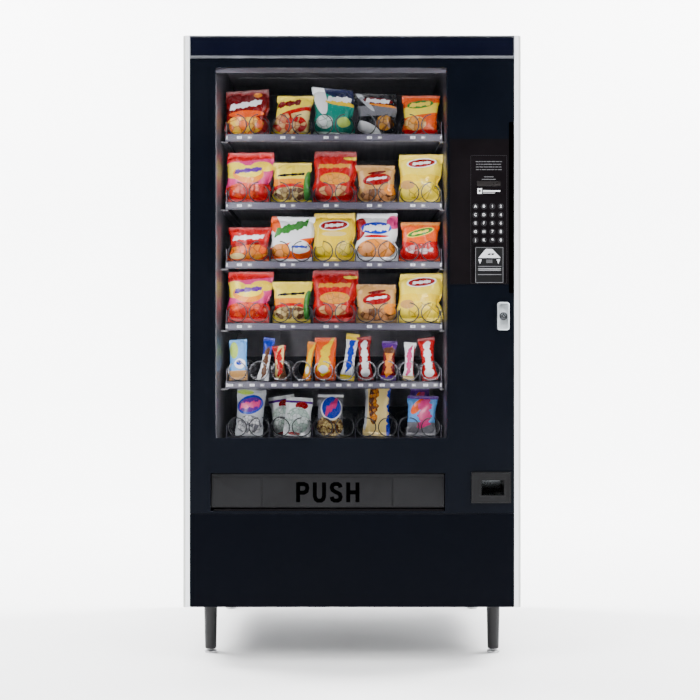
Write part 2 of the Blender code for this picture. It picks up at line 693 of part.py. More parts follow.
def spiral_points(hand):
    """Points of one spiral about its own Y axis: the turns, then the wire's run in to the axis."""
    pitch = (SPIRAL_REAR - SPIRAL_FRONT) / SPIRAL_TURNS
    points = []
    for step in range(SPIRAL_TURNS * SPIRAL_STEPS + 1):
        turn = step / SPIRAL_STEPS
        angle = hand * 2 * math.pi * turn
        points.append((SPIRAL_R * math.sin(angle), turn * pitch, SPIRAL_R * math.cos(angle)))
    rear = SPIRAL_TURNS * pitch
    points.append((0, rear + 0.006, SPIRAL_R * 0.5))
    points.append((0, rear + 0.012, 0.0))
    points.append((0, TRAY_BACK - TRAY_FLOOR - SPIRAL_FRONT - 0.001, 0.0))
    return points


def spiral(name, tray_number, place_number, hand):
    pitch = (TRAY_X[1] - TRAY_X[0]) / 10
    x = TRAY_X[0] + (place_number + 0.5) * pitch
    curve = bpy.data.curves.new(name, "CURVE")
    curve.dimensions = "3D"
    curve.bevel_depth = SPIRAL_WIRE_R
    curve.bevel_resolution = 1
    curve.use_fill_caps = True
    points = spiral_points(hand)
    spline = curve.splines.new("POLY")
    spline.points.add(len(points) - 1)
    for point, at in zip(spline.points, points):
        point.co = (*at, 1)
    return place(
        bpy.data.objects.new(name, curve),
        (x, SPIRAL_FRONT, TRAY_TOPS[tray_number] + SPIRAL_AXIS),
        "spiral_black",
    )


# --- Assembly ---------------------------------------------------------------------------
def build_cabinet():
    cabinet = axis_empty("cabinet_body", (0, 0, 0))
    adopt(cabinet_shell(), cabinet)
    left_x = (LINER_LEFT - LINER, LINER_LEFT)
    right_x = (LINER_RIGHT, LINER_RIGHT + LINER)
    adopt(liner_wall("liner_wall_left", left_x, (left_x[1] - LINER / 2, TRAY_X[0] + 0.007)), cabinet)
    adopt(liner_wall("liner_wall_right", right_x, (TRAY_X[1] - 0.007, right_x[0] + LINER / 2)), cabinet)
    upper = (DOOR_HIGH + GAP, HEIGHT)
    lower = (FLOOR_CLEARANCE, DOOR_LOW - GAP)
    adopt(hinge_plate("hinge_plate_upper", upper, DOOR_HIGH - HINGE_PIN_LONG, HEIGHT - 0.001), cabinet)
    pin_low = FLOOR_CLEARANCE + 0.001
    adopt(hinge_plate("hinge_plate_lower", lower, pin_low, DOOR_LOW + HINGE_PIN_LONG), cabinet)
    for end, y in (("front", LEG_FRONT_Y), ("rear", LEG_REAR_Y)):
        for side, x in (("left", -LEG_X), ("right", LEG_X)):
            adopt(leg(f"leg_{end}_{side}", x, y), cabinet)
            adopt(levelling_foot(f"foot_{end}_{side}", x, y), cabinet)
    adopt(power_inlet(), cabinet)
    return cabinet


def build_door(cabinet):
    door = axis_empty("door_hinge_axis", (HINGE_X, HINGE_Y, 0), cabinet)
    for piece in (door_frame(), header_trim(), header_panel(), window_frame(), window_glass(), kick_panel()):
        adopt(piece, door)
    adopt(side_trim("side_trim_left", -1), door)
    adopt(side_trim("side_trim_right", 1), door)
    for piece in (control_panel(), bill_acceptor(), coin_return_cup(), delivery_bin()):
        adopt(piece, door)
    adopt(delivery_flap(), door)
    adopt(anti_theft_baffle(), door)
    stem = adopt(lock_stem(), door)
    handle = adopt(t_handle(), stem)
    adopt(lock_cylinder(), handle)
    for number, (x, z) in enumerate(key_places(), start=1):
        adopt(selection_key(f"key_{number:02d}", x, z), door)


def build_trays(cabinet):
    trays = []
    for number, (top, lanes) in enumerate(zip(TRAY_TOPS, TRAY_LANES), start=1):
        trays.append(adopt(tray(number, top, lanes), cabinet))
    for name, tray_number, place_number, hand in SPIRALS:
        adopt(spiral(name, tray_number, place_number, hand), trays[tray_number])


CABINET = build_cabinet()
build_door(CABINET)
build_trays(CABINET)
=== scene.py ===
"""The looks of the snack vending machine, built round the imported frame.

Metres, +Z up. The door faces -Y. Places come from the frame's own boxes and joints, or are in its metres.
"""

import math
import random

import bmesh
import bpy
from mathutils import Matrix, Vector, noise

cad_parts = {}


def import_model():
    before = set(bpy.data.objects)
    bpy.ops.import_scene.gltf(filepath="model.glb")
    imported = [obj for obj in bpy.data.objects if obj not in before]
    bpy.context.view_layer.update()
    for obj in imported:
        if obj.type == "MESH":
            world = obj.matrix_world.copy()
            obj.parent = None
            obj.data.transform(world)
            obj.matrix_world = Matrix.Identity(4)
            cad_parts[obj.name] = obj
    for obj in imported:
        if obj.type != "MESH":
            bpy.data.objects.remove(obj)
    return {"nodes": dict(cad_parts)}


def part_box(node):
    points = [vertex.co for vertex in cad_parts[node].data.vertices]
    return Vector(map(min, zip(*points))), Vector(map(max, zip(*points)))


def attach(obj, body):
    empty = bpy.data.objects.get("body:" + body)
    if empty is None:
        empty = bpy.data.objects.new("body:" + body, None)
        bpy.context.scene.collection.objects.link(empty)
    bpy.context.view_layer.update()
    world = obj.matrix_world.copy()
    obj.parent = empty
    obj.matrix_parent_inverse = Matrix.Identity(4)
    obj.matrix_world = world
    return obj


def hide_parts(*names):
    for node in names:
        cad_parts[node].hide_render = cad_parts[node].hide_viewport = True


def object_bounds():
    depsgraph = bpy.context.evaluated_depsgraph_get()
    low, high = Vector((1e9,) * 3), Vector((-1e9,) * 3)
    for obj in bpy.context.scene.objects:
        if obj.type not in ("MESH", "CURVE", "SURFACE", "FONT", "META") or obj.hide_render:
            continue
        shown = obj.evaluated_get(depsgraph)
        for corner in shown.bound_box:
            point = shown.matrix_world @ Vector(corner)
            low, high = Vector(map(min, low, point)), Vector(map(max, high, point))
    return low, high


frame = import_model()
CAD_LOW, CAD_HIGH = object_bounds()
NODES = frame["nodes"]
MM = 0.001

# --- Places read from the frame ---------------------------------------------------------
DOOR_LOW, DOOR_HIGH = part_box("door_frame")
SHELL_LOW, SHELL_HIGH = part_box("cabinet_shell")
PLATE_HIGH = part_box("control_panel")[1]
BILL_LOW, BILL_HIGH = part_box("bill_acceptor")
COIN_LOW, COIN_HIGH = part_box("coin_return_cup")
HANDLE_LOW, HANDLE_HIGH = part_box("t_handle")
FLAP_LOW, FLAP_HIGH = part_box("delivery_flap")
BEZEL_LOW, BEZEL_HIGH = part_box("window_frame")
GLASS_LOW, GLASS_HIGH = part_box("window_glass")
KICK_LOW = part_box("kick_panel")[0]
TRAYS = [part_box(f"tray_{number}") for number in range(1, 7)]
SPIRAL_LOW, SPIRAL_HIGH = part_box("spiral_1_left")
FRONT = KICK_LOW.y
STRIP_HIGH = 0.0227
TRAY_TOPS = [low.z + STRIP_HIGH for low, high in TRAYS]
LANES = (5, 5, 5, 5, 10, 5)

# --- Spirals ----------------------------------------------------------------------------
WIRE_R = 0.0018
SPIRAL_R = (SPIRAL_HIGH.x - SPIRAL_LOW.x) / 2 - WIRE_R
SPIRAL_PITCH = (TRAYS[0][1].x - TRAYS[0][0].x) / 10
SPIRAL_AXIS = 0.0326
SPIRAL_TURNS = 8
SPIRAL_FRONT = TRAYS[0][0].y + 0.008
SPIRAL_RUN = TRAYS[0][1].y - 0.060 - SPIRAL_FRONT
SPIRAL_END = TRAYS[0][1].y - 0.004
FIRST_PACKET, SECOND_PACKET = 0.95, 1.95  # turns back from the front of the spiral

# --- Camera and light -------------------------------------------------------------------
CAMERA_X = -0.0058
CAMERA_HEIGHT = 0.9091
CAMERA_DISTANCE = 3.9
FIELD_WIDTH = 2.0377  # width of the picture at the door's front plane
SENSOR = 36.0
BACKDROP = 1.6 * CAMERA_DISTANCE  # the sweep rises behind every camera that circles the machine


# --- Node graphs ------------------------------------------------------------------------
class Finish:
    """A Principled material and the small node graph that feeds it."""

    def __init__(self, name, colour, roughness, metallic=0.0, **sockets):
        self.material = bpy.data.materials.new(name)
        self.material.use_nodes = True
        self.tree = self.material.node_tree
        self.shader = self.tree.nodes["Principled BSDF"]
        self.set("Base Color", colour)
        self.set("Roughness", roughness)
        self.set("Metallic", metallic)
        for socket, value in sockets.items():
            self.set(socket.replace("_", " "), value)

    def set(self, socket, value):
        self.feed(self.shader.inputs[socket], value)
        return self

    def feed(self, socket, value):
        if isinstance(value, bpy.types.NodeSocket):
            self.tree.links.new(value, socket)
        elif isinstance(value, (tuple, list)) and len(value) == 3 and socket.type == "RGBA":
            socket.default_value = (*value, 1.0)
        else:
            socket.default_value = value

    def node(self, kind, values=(), **attributes):
        made = self.tree.nodes.new(kind)
        for attribute, value in attributes.items():
            setattr(made, attribute, value)
        for key, value in dict(values).items():
            self.feed(made.inputs[key], value)
        return made

    def math(self, operation, a, b=0.0, clamp=False):
        made = self.node("ShaderNodeMath", {0: a, 1: b}, operation=operation)
        made.use_clamp = clamp
        return made.outputs[0]

    def mix(self, share, a, b):
        made = self.node("ShaderNodeMix", data_type="RGBA")
        self.feed(made.inputs[0], share)
        self.feed(made.inputs[6], a)
        self.feed(made.inputs[7], b)
        return made.outputs[2]

    def blend(self, share, a, b):
        made = self.node("ShaderNodeMix", {0: share, 2: a, 3: b}, data_type="FLOAT")
        return made.outputs[0]

    def place(self):
        """The object's own coordinates, which are the frame's for a piece at the origin."""
        return self.node("ShaderNodeTexCoord").outputs["Object"]

    def split(self, vector):
        return self.node("ShaderNodeSeparateXYZ", {0: vector}).outputs

    def scaled(self, vector, scale):
        return self.node("ShaderNodeMapping", {"Vector": vector, "Scale": scale}).outputs[0]

    def noise(self, vector, scale, detail=4.0, roughness=0.55, distortion=0.0):
        values = {"Vector": vector, "Scale": scale, "Detail": detail}
        values.update({"Roughness": roughness, "Distortion": distortion})
        return self.node("ShaderNodeTexNoise", values).outputs["Fac"]

    def voronoi(self, vector, scale, output="Distance", feature="F1"):
        made = self.node("ShaderNodeTexVoronoi", {"Vector": vector, "Scale": scale}, feature=feature)
        return made.outputs[output]

    def step(self, value, edge, soft=0.01):
        """0 below the edge, 1 above it, with a smooth change soft wide to either side."""
        values = {"Value": value, "From Min": edge - soft, "From Max": edge + soft}
        return self.node("ShaderNodeMapRange", values, interpolation_type="SMOOTHSTEP").outputs[0]

    def span(self, value, low, high, to_low, to_high):
        values = {0: value, 1: low, 2: high, 3: to_low, 4: to_high}
        return self.node("ShaderNodeMapRange", values).outputs[0]

    def between(self, value, low, high, soft=0.01):
        above = self.step(value, low, soft)
        return self.math("MULTIPLY", above, self.math("SUBTRACT", 1.0, self.step(value, high, soft)))

    def mottle(self, value, colour, low, high, share=1.0):
        """Lets the base colour drift between two shades of itself."""
        drift = self.span(value, 0.3, 0.7, 0.0, share)
        self.set("Base Color", self.mix(drift, shade(colour, low), shade(colour, high)))

    def bump(self, height, strength, distance):
        normal = None
        if self.shader.inputs["Normal"].is_linked:
            normal = self.shader.inputs["Normal"].links[0].from_socket
        made = self.node("ShaderNodeBump", {"Height": height, "Strength": strength, "Distance": distance})
        if normal:
            self.feed(made.inputs["Normal"], normal)
        return self.set("Normal", made.outputs[0])


def shade(colour, by):
    return tuple(min(1.0, channel * by) for channel in colour)


# --- Materials --------------------------------------------------------------------------
def paint(name, colour, roughness, grain=900.0, grain_depth=0.00006, dust=0.35, gloss=0.28):
    """Sprayed enamel: fine orange peel, faint cloudiness and softly varying gloss."""
    finish = Finish(name, colour, roughness, Specular_IOR_Level=gloss)
    at = finish.place()
    cloud = finish.noise(at, 3.5, 6.0)
    speck = finish.noise(at, 260.0, 2.0)
    tone = finish.mix(finish.span(cloud, 0.3, 0.7, 0.0, dust), colour, shade(colour, 1.5))
    finish.set("Base Color", finish.mix(finish.span(speck, 0.55, 0.9, 0.0, 0.25), tone, shade(colour, 1.9)))
    finish.set("Roughness", finish.span(cloud, 0.3, 0.7, roughness - 0.05, roughness + 0.07))
    finish.bump(finish.noise(at, grain, 2.0), 0.35, grain_depth)
    return finish.material


def cabinet_paint():
    """Textured powder coat, with a paler rub along the lowest edge."""
    base = (0.020, 0.021, 0.026)
    finish = Finish("cabinet_powder_coat", base, 0.55)
    at = finish.place()
    grain = finish.voronoi(at, 700.0)
    cloud = finish.noise(at, 2.2, 7.0)
    height = finish.split(at)[2]
    rub = finish.math("SUBTRACT", 1.0, finish.step(height, SHELL_LOW.z + 0.03, 0.03))
    worn = finish.math("MULTIPLY", rub, finish.step(finish.noise(at, 30.0, 6.0), 0.56, 0.05))
    tone = finish.mix(finish.span(cloud, 0.3, 0.7, 0.0, 0.5), base, (0.034, 0.035, 0.042))
    finish.set("Base Color", finish.mix(finish.math("MULTIPLY", worn, 0.5), tone, (0.10, 0.10, 0.11)))
    finish.set("Roughness", finish.span(cloud, 0.3, 0.7, 0.48, 0.66))
    finish.bump(grain, 0.5, 0.0002)
    return finish.material


def brushed(name, colour, roughness, along=2, lines=420.0, metallic=1.0):
    """Metal with fine lines along one axis and handling marks."""
    finish = Finish(name, colour, roughness, metallic)
    at = finish.place()
    stretch = [lines, lines, lines]
    stretch[along] = 4.0
    streak = finish.noise(finish.scaled(at, stretch), 1.0, 3.0)
    smudge = finish.noise(at, 14.0, 5.0)
    finish.mottle(streak, colour, 0.82, 1.12, 0.5)
    rough = finish.span(streak, 0.3, 0.7, roughness - 0.06, roughness + 0.08)
    finish.set("Roughness", finish.math("ADD", rough, finish.span(smudge, 0.45, 0.75, 0.0, 0.10)))
    finish.bump(streak, 0.25, 0.00005)
    return finish.material


def moulded(name, colour, roughness, scale=1500.0, depth=0.00008, gloss=0.3):
    """Moulded plastic with a fine spark grain, and a little dust in its tone."""
    finish = Finish(name, colour, roughness, Specular_IOR_Level=gloss)
    at = finish.place()
    grain = finish.voronoi(at, scale)
    cloud = finish.noise(at, 9.0, 5.0)
    finish.mottle(cloud, colour, 0.8, 1.45, 0.6)
    finish.set("Roughness", finish.span(cloud, 0.3, 0.7, roughness - 0.06, roughness + 0.08))
    finish.bump(grain, 0.4, depth)
    return finish.material


def edge_strip():
    """White coated aluminium. Its chamfer and outer side are painted a plain grey, as painted shade where the
    rounded edge turns away from the light.
    """
    finish = Finish("edge_strip_white", (0.80, 0.83, 0.88), 0.34)
    at = finish.place()
    across = finish.split(at)[0]
    # Painted shade: marks the outer 7.2 mm across, which is the chamfer, for grey.
    side = finish.step(finish.math("ABSOLUTE", across), CAD_HIGH.x - 0.0072, 0.0006)
    cloud = finish.noise(finish.scaled(at, (60, 60, 3)), 1.0, 4.0)
    white = finish.mix(finish.span(cloud, 0.3, 0.7, 0.0, 1.0), (0.89, 0.91, 0.96), (0.94, 0.95, 0.98))
    # Painted shade: the chamfer's base colour is mixed to grey (0.44); the rest stays white.
    finish.set("Base Color", finish.mix(side, white, (0.44, 0.45, 0.43)))
    finish.set("Roughness", finish.blend(side, 0.32, 0.42))
    finish.bump(finish.noise(finish.scaled(at, (900, 900, 12)), 1.0, 2.0), 0.2, 0.00004)
    return finish.material


def window_glass():
    finish = Finish("window_glass", (0.012, 0.015, 0.017), 0.04, Alpha=0.04, IOR=1.45)
    smear = finish.noise(finish.place(), 5.0, 6.0, distortion=1.5)
    finish.set("Roughness", finish.span(smear, 0.35, 0.75, 0.02, 0.12))
    return finish.material


def tray_paint():
    """Lavender-grey enamel, darker where packets have rubbed along the lanes. Faces that look down are
    painted a pale grey: painted light on the undersides.
    """
    base = (0.024, 0.022, 0.036)
    finish = Finish("tray_enamel", base, 0.42, 0.35)
    at = finish.place()
    lane = finish.noise(finish.scaled(at, (90, 3, 30)), 1.0, 5.0)
    cloud = finish.noise(at, 22.0, 5.0)
    tone = finish.mix(finish.span(lane, 0.35, 0.7, 0.0, 0.8), base, shade(base, 0.55))
    tone = finish.mix(finish.span(cloud, 0.5, 0.8, 0.0, 0.4), tone, shade(base, 1.7))
    # Painted light: faces whose normal points down get a pale grey base (0.34) in place of the light they
    # lack.
    upward = finish.split(finish.node("ShaderNodeTexCoord", {}).outputs["Normal"])[2]
    painted_underside_light = finish.span(upward, -0.8, -0.4, 1.0, 0.0)
    finish.set("Base Color", finish.mix(painted_underside_light, tone, (0.34, 0.32, 0.37)))
    finish.set("Roughness", finish.span(lane, 0.3, 0.7, 0.34, 0.54))
    finish.bump(finish.noise(at, 800.0, 2.0), 0.2, 0.00004)
    return finish.material


def dark_liner(name, base):
    """Dark coated sheet, glossy enough to blur what stands beside it."""
    finish = Finish(name, base, 0.36, 0.1)
    at = finish.place()
    streak = finish.noise(finish.scaled(at, (120, 120, 3)), 1.0, 4.0)
    cloud = finish.noise(at, 5.0, 5.0)
    finish.mottle(cloud, base, 0.7, 1.6)
    finish.set("Roughness", finish.span(streak, 0.3, 0.7, 0.28, 0.46))
    finish.bump(streak, 0.2, 0.0001)
    return finish.material


def lamp_glow():
    finish = Finish("lamp_tube", (0.9, 0.93, 1.0), 0.4, Emission_Color=(0.90, 0.95, 1.0, 1),
                    Emission_Strength=9.0)
    height = finish.split(finish.place())[2]
    ends = finish.between(height, BEZEL_LOW.z + 0.13, BEZEL_HIGH.z - 0.04, 0.02)
    finish.set("Base Color", finish.mix(ends, (0.25, 0.24, 0.23), (0.9, 0.93, 1.0)))
    return finish.material


def printed(name, colour, roughness=0.45):
    """Card or ink with a slight fibre to its tone."""
    finish = Finish(name, colour, roughness, Specular_IOR_Level=0.2)
    fibre = finish.noise(finish.place(), 900.0, 3.0)
    finish.mottle(fibre, colour, 0.88, 1.06)
    finish.bump(fibre, 0.15, 0.00003)
    return finish.material


PAINT_DOOR = paint("door_enamel", (0.0005, 0.0013, 0.0036), 0.42, gloss=0.07)
PAINT_NAVY = paint("navy_enamel", (0.0005, 0.0010, 0.0060), 0.38, gloss=0.09)
# Painted shade: the kick panel wears a darker copy of the navy enamel, to offset the floor's light on it.
PAINT_KICK_SHADED = paint("kick_enamel_shaded", (0.0004, 0.0008, 0.0024), 0.42, gloss=0.035)
PAINT_CABINET = cabinet_paint()
PAINT_LEG = paint("leg_enamel", (0.0045, 0.0045, 0.0050), 0.42, grain=500.0)
SILVER = brushed("trim_silver", (0.60, 0.63, 0.69), 0.30, along=0)
HANDLE_STEEL = brushed("handle_steel", (0.74, 0.80, 0.83), 0.36, along=2, lines=260.0)
BRIGHT_STEEL = brushed("bright_steel", (0.62, 0.66, 0.68), 0.18, along=0, lines=300.0)
FOOT_STEEL = brushed("foot_steel", (0.52, 0.52, 0.53), 0.34, along=0)
DARK_WIRE = brushed("spiral_wire_dark", (0.055, 0.055, 0.062), 0.30, along=1, metallic=0.7)
PALE_WIRE = brushed("spiral_wire_pale", (0.34, 0.34, 0.37), 0.26, along=1, metallic=0.9)
EDGE_STRIP = edge_strip()
GLASS = window_glass()
TRAY_PAINT = tray_paint()
LINER = dark_liner("liner_dark_sheet", (0.030, 0.028, 0.036))
# Painted light: a copy of the dark liner with its base raised about eightfold, used on the back and ceiling
# sheets so they read lighter than their light makes them.
LINER_PAINTED_LIGHT = dark_liner("liner_painted_light", (0.24, 0.225, 0.26))
LAMP = lamp_glow()
PANEL_BLACK = moulded("panel_black", (0.0020, 0.0011, 0.0018), 0.50, gloss=0.07)
OVERLAY_BLACK = moulded("overlay_black", (0.014, 0.012, 0.012), 0.30, scale=2400.0, depth=0.00003)
PLASTIC_BLACK = moulded("plastic_black", (0.0036, 0.0036, 0.0042), 0.44, gloss=0.2)
CHARCOAL = moulded("flap_charcoal", (0.0082, 0.0082, 0.0092), 0.62, scale=1100.0, depth=0.00015, gloss=0.14)
KEY_GREY = moulded("key_rubber", (0.011, 0.010, 0.012), 0.62, gloss=0.2)
WINDOW_LINING = moulded("lining_grey", (0.045, 0.043, 0.056), 0.75, gloss=0.2)
# Flat black with no gloss: ink for the flap's word, and painted shade over the recess beside the control
# panel.
PURE_BLACK = moulded("black_ink_and_recess_shade", (0.0002, 0.0002, 0.0002), 0.8, gloss=0.0)
SEAL_RUBBER = moulded("seal_rubber", (0.0045, 0.0045, 0.0045), 0.8, gloss=0.15)
STRIP_LAVENDER = moulded("price_strip", (0.058, 0.053, 0.078), 0.40, scale=1800.0, depth=0.00003)
INK_WHITE = printed("ink_white", (0.80, 0.81, 0.82))
INK_GREY = printed("ink_grey", (0.16, 0.16, 0.17))
INK_FAINT = printed("ink_faint", (0.018, 0.017, 0.019))
INK_BLACK = printed("ink_black", (0.0010, 0.0010, 0.0012), 0.7)
CARD_WHITE = printed("card_white", (0.60, 0.60, 0.63))


# --- Mesh helpers -----------------------------------------------------------------------
def shown(name, data, material, body, smooth_angle=None):
    """Puts a piece in the scene with its material, riding on a body."""
    data.materials.clear()
    data.materials.append(material)
    if smooth_angle is not None and isinstance(data, bpy.types.Mesh):
        data.shade_smooth()
        data.set_sharp_from_angle(angle=math.radians(smooth_angle))
    piece = bpy.data.objects.new(name, data)
    bpy.context.scene.collection.objects.link(piece)
    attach(piece, body)
    return piece


def mesh_data(name, mesh):
    data = bpy.data.meshes.new(name)
    bmesh.ops.recalc_face_normals(mesh, faces=mesh.faces)
    mesh.to_mesh(data)
    mesh.free()
    return data


def add_block(mesh, low, high, round_by=0.0, segments=2):
    """Adds a box, with all its edges rounded where round_by is set."""
    size = Vector(high) - Vector(low)
    middle = (Vector(high) + Vector(low)) / 2
    place = Matrix.Translation(middle) @ Matrix.Diagonal((*size, 1))
    made = bmesh.ops.create_cube(mesh, size=1, matrix=place)
    if round_by:
        edges = list({edge for vert in made["verts"] for edge in vert.link_edges})
        bmesh.ops.bevel(mesh, geom=edges, offset=round_by, segments=segments, profile=0.5, affect="EDGES")


def blocks(name, spans, material, body, round_by=0.0, segments=2):
    """One piece made of separate rounded boxes, each given as its lowest and highest corner."""
    mesh = bmesh.new()
    for low, high in spans:
        add_block(mesh, low, high, round_by, segments)
    return shown(name, mesh_data(name, mesh), material, body, 35)


def plate(name, outline, y_back, y_front, material, body, round_by=0.0, hole=()):
    """A flat piece that faces -Y: an outline of (x, z) points, raised from y_back to y_front."""
    mesh = bmesh.new()
    loops = []
    for ring in filter(None, (outline, hole)):
        verts = [mesh.verts.new((x, y_back, z)) for x, z in ring]
        edges = [mesh.edges.new((verts[i], verts[(i + 1) % len(verts)])) for i in range(len(verts))]
        loops.extend(edges)
    bmesh.ops.triangle_fill(mesh, edges=loops, use_beauty=True)
    bmesh.ops.dissolve_limit(mesh, angle_limit=0.001, verts=mesh.verts, edges=mesh.edges)
    front = bmesh.ops.extrude_face_region(mesh, geom=list(mesh.faces))["geom"]
    moved = [item for item in front if isinstance(item, bmesh.types.BMVert)]
    bmesh.ops.translate(mesh, verts=moved, vec=(0, y_front - y_back, 0))
    if round_by:
        in_front = [e for e in mesh.edges if all(abs(v.co.y - y_front) < 1e-6 for v in e.verts)]
        rim = [e for e in in_front if e.calc_face_angle(0) > 0.5]
        bmesh.ops.bevel(mesh, geom=rim, offset=round_by, segments=3, profile=0.5, affect="EDGES")
    return shown(name, mesh_data(name, mesh), material, body, 35)


def rectangle(low_x, low_z, high_x, high_z, corner=0.0, steps=6):
    """Outline of a rectangle with rounded corners."""
    if not corner:
        return [(low_x, low_z), (high_x, low_z), (high_x, high_z), (low_x, high_z)]
    points = []
    centres = (
        (high_x - corner, low_z + corner, -90),
        (high_x - corner, high_z - corner, 0),
        (low_x + corner, high_z - corner, 90),
        (low_x + corner, low_z + corner, 180),
    )
    for x, z, start in centres:
        for step in range(steps + 1):
            angle = math.radians(start + 90 * step / steps)
            points.append((x + corner * math.cos(angle), z + corner * math.sin(angle)))
    return points


def circle(x, z, radius, steps=48):
    return [
        (x + radius * math.cos(2 * math.pi * i / steps), z + radius * math.sin(2 * math.pi * i / steps))
        for i in range(steps)
    ]


def turned(name, profile, at, material, body, forward=False, steps=64):
    """A piece of revolution: (radius, height) pairs about the local Z, or about -Y when forward."""
    mesh = bmesh.new()
    verts = [mesh.verts.new((radius, 0, height)) for radius, height in profile]
    edges = [mesh.edges.new(pair) for pair in zip(verts, verts[1:])]
    bmesh.ops.spin(mesh, geom=verts + edges, cent=(0, 0, 0), axis=(0, 0, 1), angle=2 * math.pi, steps=steps)
    bmesh.ops.remove_doubles(mesh, verts=mesh.verts, dist=1e-6)
    turn = Matrix.Rotation(math.pi / 2, 4, "X") if forward else Matrix.Identity(4)
    bmesh.ops.transform(mesh, matrix=Matrix.Translation(at) @ turn, verts=mesh.verts)
    return shown(name, mesh_data(name, mesh), material, body, 30)


def tube(name, points, radius, material, body, cyclic=False):
    curve = bpy.data.curves.new(name, "CURVE")
    curve.dimensions = "3D"
    curve.bevel_depth = radius
    curve.bevel_resolution = 3
    curve.use_fill_caps = True
    spline = curve.splines.new("POLY")
    spline.points.add(len(points) - 1)
    for point, at in zip(spline.points, points):
        point.co = (*at, 1)
    spline.use_cyclic_u = cyclic
    return shown(name, curve, material, body)


def lettering(name, text, middle, height, material, body, weight=0.0, spacing=1.0, width=None):
    """Raised characters that face -Y, centred on a point, with capitals of a height and a full width."""
    curve = bpy.data.curves.new(name, "FONT")
    curve.body = text
    curve.align_x = "CENTER"
    curve.align_y = "CENTER"
    curve.size = height / 0.70
    curve.extrude = 0.00012
    curve.offset = weight
    curve.space_character = spacing
    piece = shown(name, curve, material, body)
    squeeze = 1.0
    if width:
        bpy.context.view_layer.update()
        squeeze = width / piece.dimensions.x
    upright = Matrix.Rotation(math.pi / 2, 4, "X")
    piece.matrix_local = Matrix.Translation(middle) @ upright @ Matrix.Diagonal((squeeze, 1, 1, 1))
    return piece


# --- CAD nodes that keep their own shape ------------------------------------------------
def dress_cad_nodes():
    looks = {
        "cabinet_shell": PAINT_CABINET,
        "liner_wall_left": LINER,
        "liner_wall_right": LINER,
        "hinge_plate_upper": FOOT_STEEL,
        "hinge_plate_lower": FOOT_STEEL,
        "power_inlet": PLASTIC_BLACK,
        "door_frame": PAINT_DOOR,
        "header_panel": PAINT_NAVY,
        "header_trim": SILVER,
        "side_trim_left": EDGE_STRIP,
        "side_trim_right": EDGE_STRIP,
        "window_frame": PAINT_DOOR,
        "window_glass": GLASS,
        "kick_panel": PAINT_KICK_SHADED,
        "control_panel": PANEL_BLACK,
        "bill_acceptor": PLASTIC_BLACK,
        "coin_return_cup": PLASTIC_BLACK,
        "delivery_bin": PANEL_BLACK,
        "delivery_flap": CHARCOAL,
        "anti_theft_baffle": LINER,
        "lock_stem": BRIGHT_STEEL,
    }
    for number in range(1, 7):
        looks[f"tray_{number}"] = TRAY_PAINT
    for node, material in looks.items():
        for slot in NODES[node].material_slots:
            slot.material = material


# --- Spirals ----------------------------------------------------------------------------
def spiral_curve(name, hand, material):
    """One spiral about the Y axis through its origin: the turns, then the run in to the motor."""
    curve = bpy.data.curves.new(name, "CURVE")
    curve.dimensions = "3D"
    curve.bevel_depth = WIRE_R
    curve.bevel_resolution = 2
    curve.use_fill_caps = True
    steps = 26
    points = []
    for step in range(SPIRAL_TURNS * steps + 1):
        turn = step / steps
        angle = hand * 2 * math.pi * turn
        y = turn / SPIRAL_TURNS * SPIRAL_RUN
        points.append((SPIRAL_R * math.sin(angle), y, SPIRAL_R * math.cos(angle)))
    for share in (0.75, 0.5, 0.25):
        points.append((0, SPIRAL_RUN + 0.012 * (1 - share), SPIRAL_R * share))
    points.append((0, SPIRAL_RUN + 0.014, 0))
    points.append((0, SPIRAL_END - SPIRAL_FRONT - 0.001, 0))
    spline = curve.splines.new("POLY")
    spline.points.add(len(points) - 1)
    for point, at in zip(spline.points, points):
        point.co = (*at, 1)
    return meshed(name, curve, material)


def meshed(name, curve, material):
    """The mesh of a curve, smooth shaded, with its material."""
    holder = bpy.data.objects.new(f"{name}_curve", curve)
    bpy.context.scene.collection.objects.link(holder)
    graph = bpy.context.evaluated_depsgraph_get()
    data = bpy.data.meshes.new_from_object(holder.evaluated_get(graph))
    bpy.data.objects.remove(holder)
    data.name = name
    data.materials.clear()
    data.materials.append(material)
    data.shade_smooth()
    return data


def spirals():
    curves = {}
    for hand in (1, -1):
        curves[hand, False] = spiral_curve(f"spiral_dark_{'ab'[hand < 0]}", hand, DARK_WIRE)
        curves[hand, True] = spiral_curve(f"spiral_pale_{'ab'[hand < 0]}", hand, PALE_WIRE)
    cad = {(0, 0): "spiral_1_left", (0, 1): "spiral_1_right", (4, 0): "spiral_candy"}
    for tray, top in enumerate(TRAY_TOPS):
        candy = LANES[tray] == 10
        for place in range(10):
            hand = 1 if candy or place % 2 == 0 else -1
            piece = bpy.data.objects.new(f"spiral_{tray + 1}_{place:02d}", curves[hand, candy])
            bpy.context.scene.collection.objects.link(piece)
            piece.location = (TRAYS[tray][0].x + (place + 0.5) * SPIRAL_PITCH, SPIRAL_FRONT,
                              top + SPIRAL_AXIS)
            node = cad.get((tray, place))
            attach(piece, node or f"tray_{tray + 1}")
            if node:
                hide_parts(node)


# --- Packets: shape ---------------------------------------------------------------------
SIM_FRAMES = 24
SEAL_SHARE = 0.07  # height of each crimped end, as a share of the packet


def packet_cage(name, tall, columns, rows, seed):
    """A flat closed packet of width 1, two sheets that share their rim, slightly uneven."""
    rng = random.Random(seed)
    mesh = bmesh.new()
    found = {}

    def vert(side, i, j):
        rim = i in (0, columns) or j in (0, rows)
        key = (0 if rim else side, i, j)
        if key not in found:
            bulge = 0 if rim else 0.02 + 0.012 * rng.random()
            found[key] = mesh.verts.new((i / columns - 0.5, side * bulge, j / rows * tall))
        return found[key]

    for side in (-1, 1):
        for j in range(rows):
            for i in range(columns):
                corners = [vert(side, i, j), vert(side, i + 1, j), vert(side, i + 1, j + 1),
                           vert(side, i, j + 1)]
                mesh.faces.new(corners)
    return mesh_data(name, mesh)


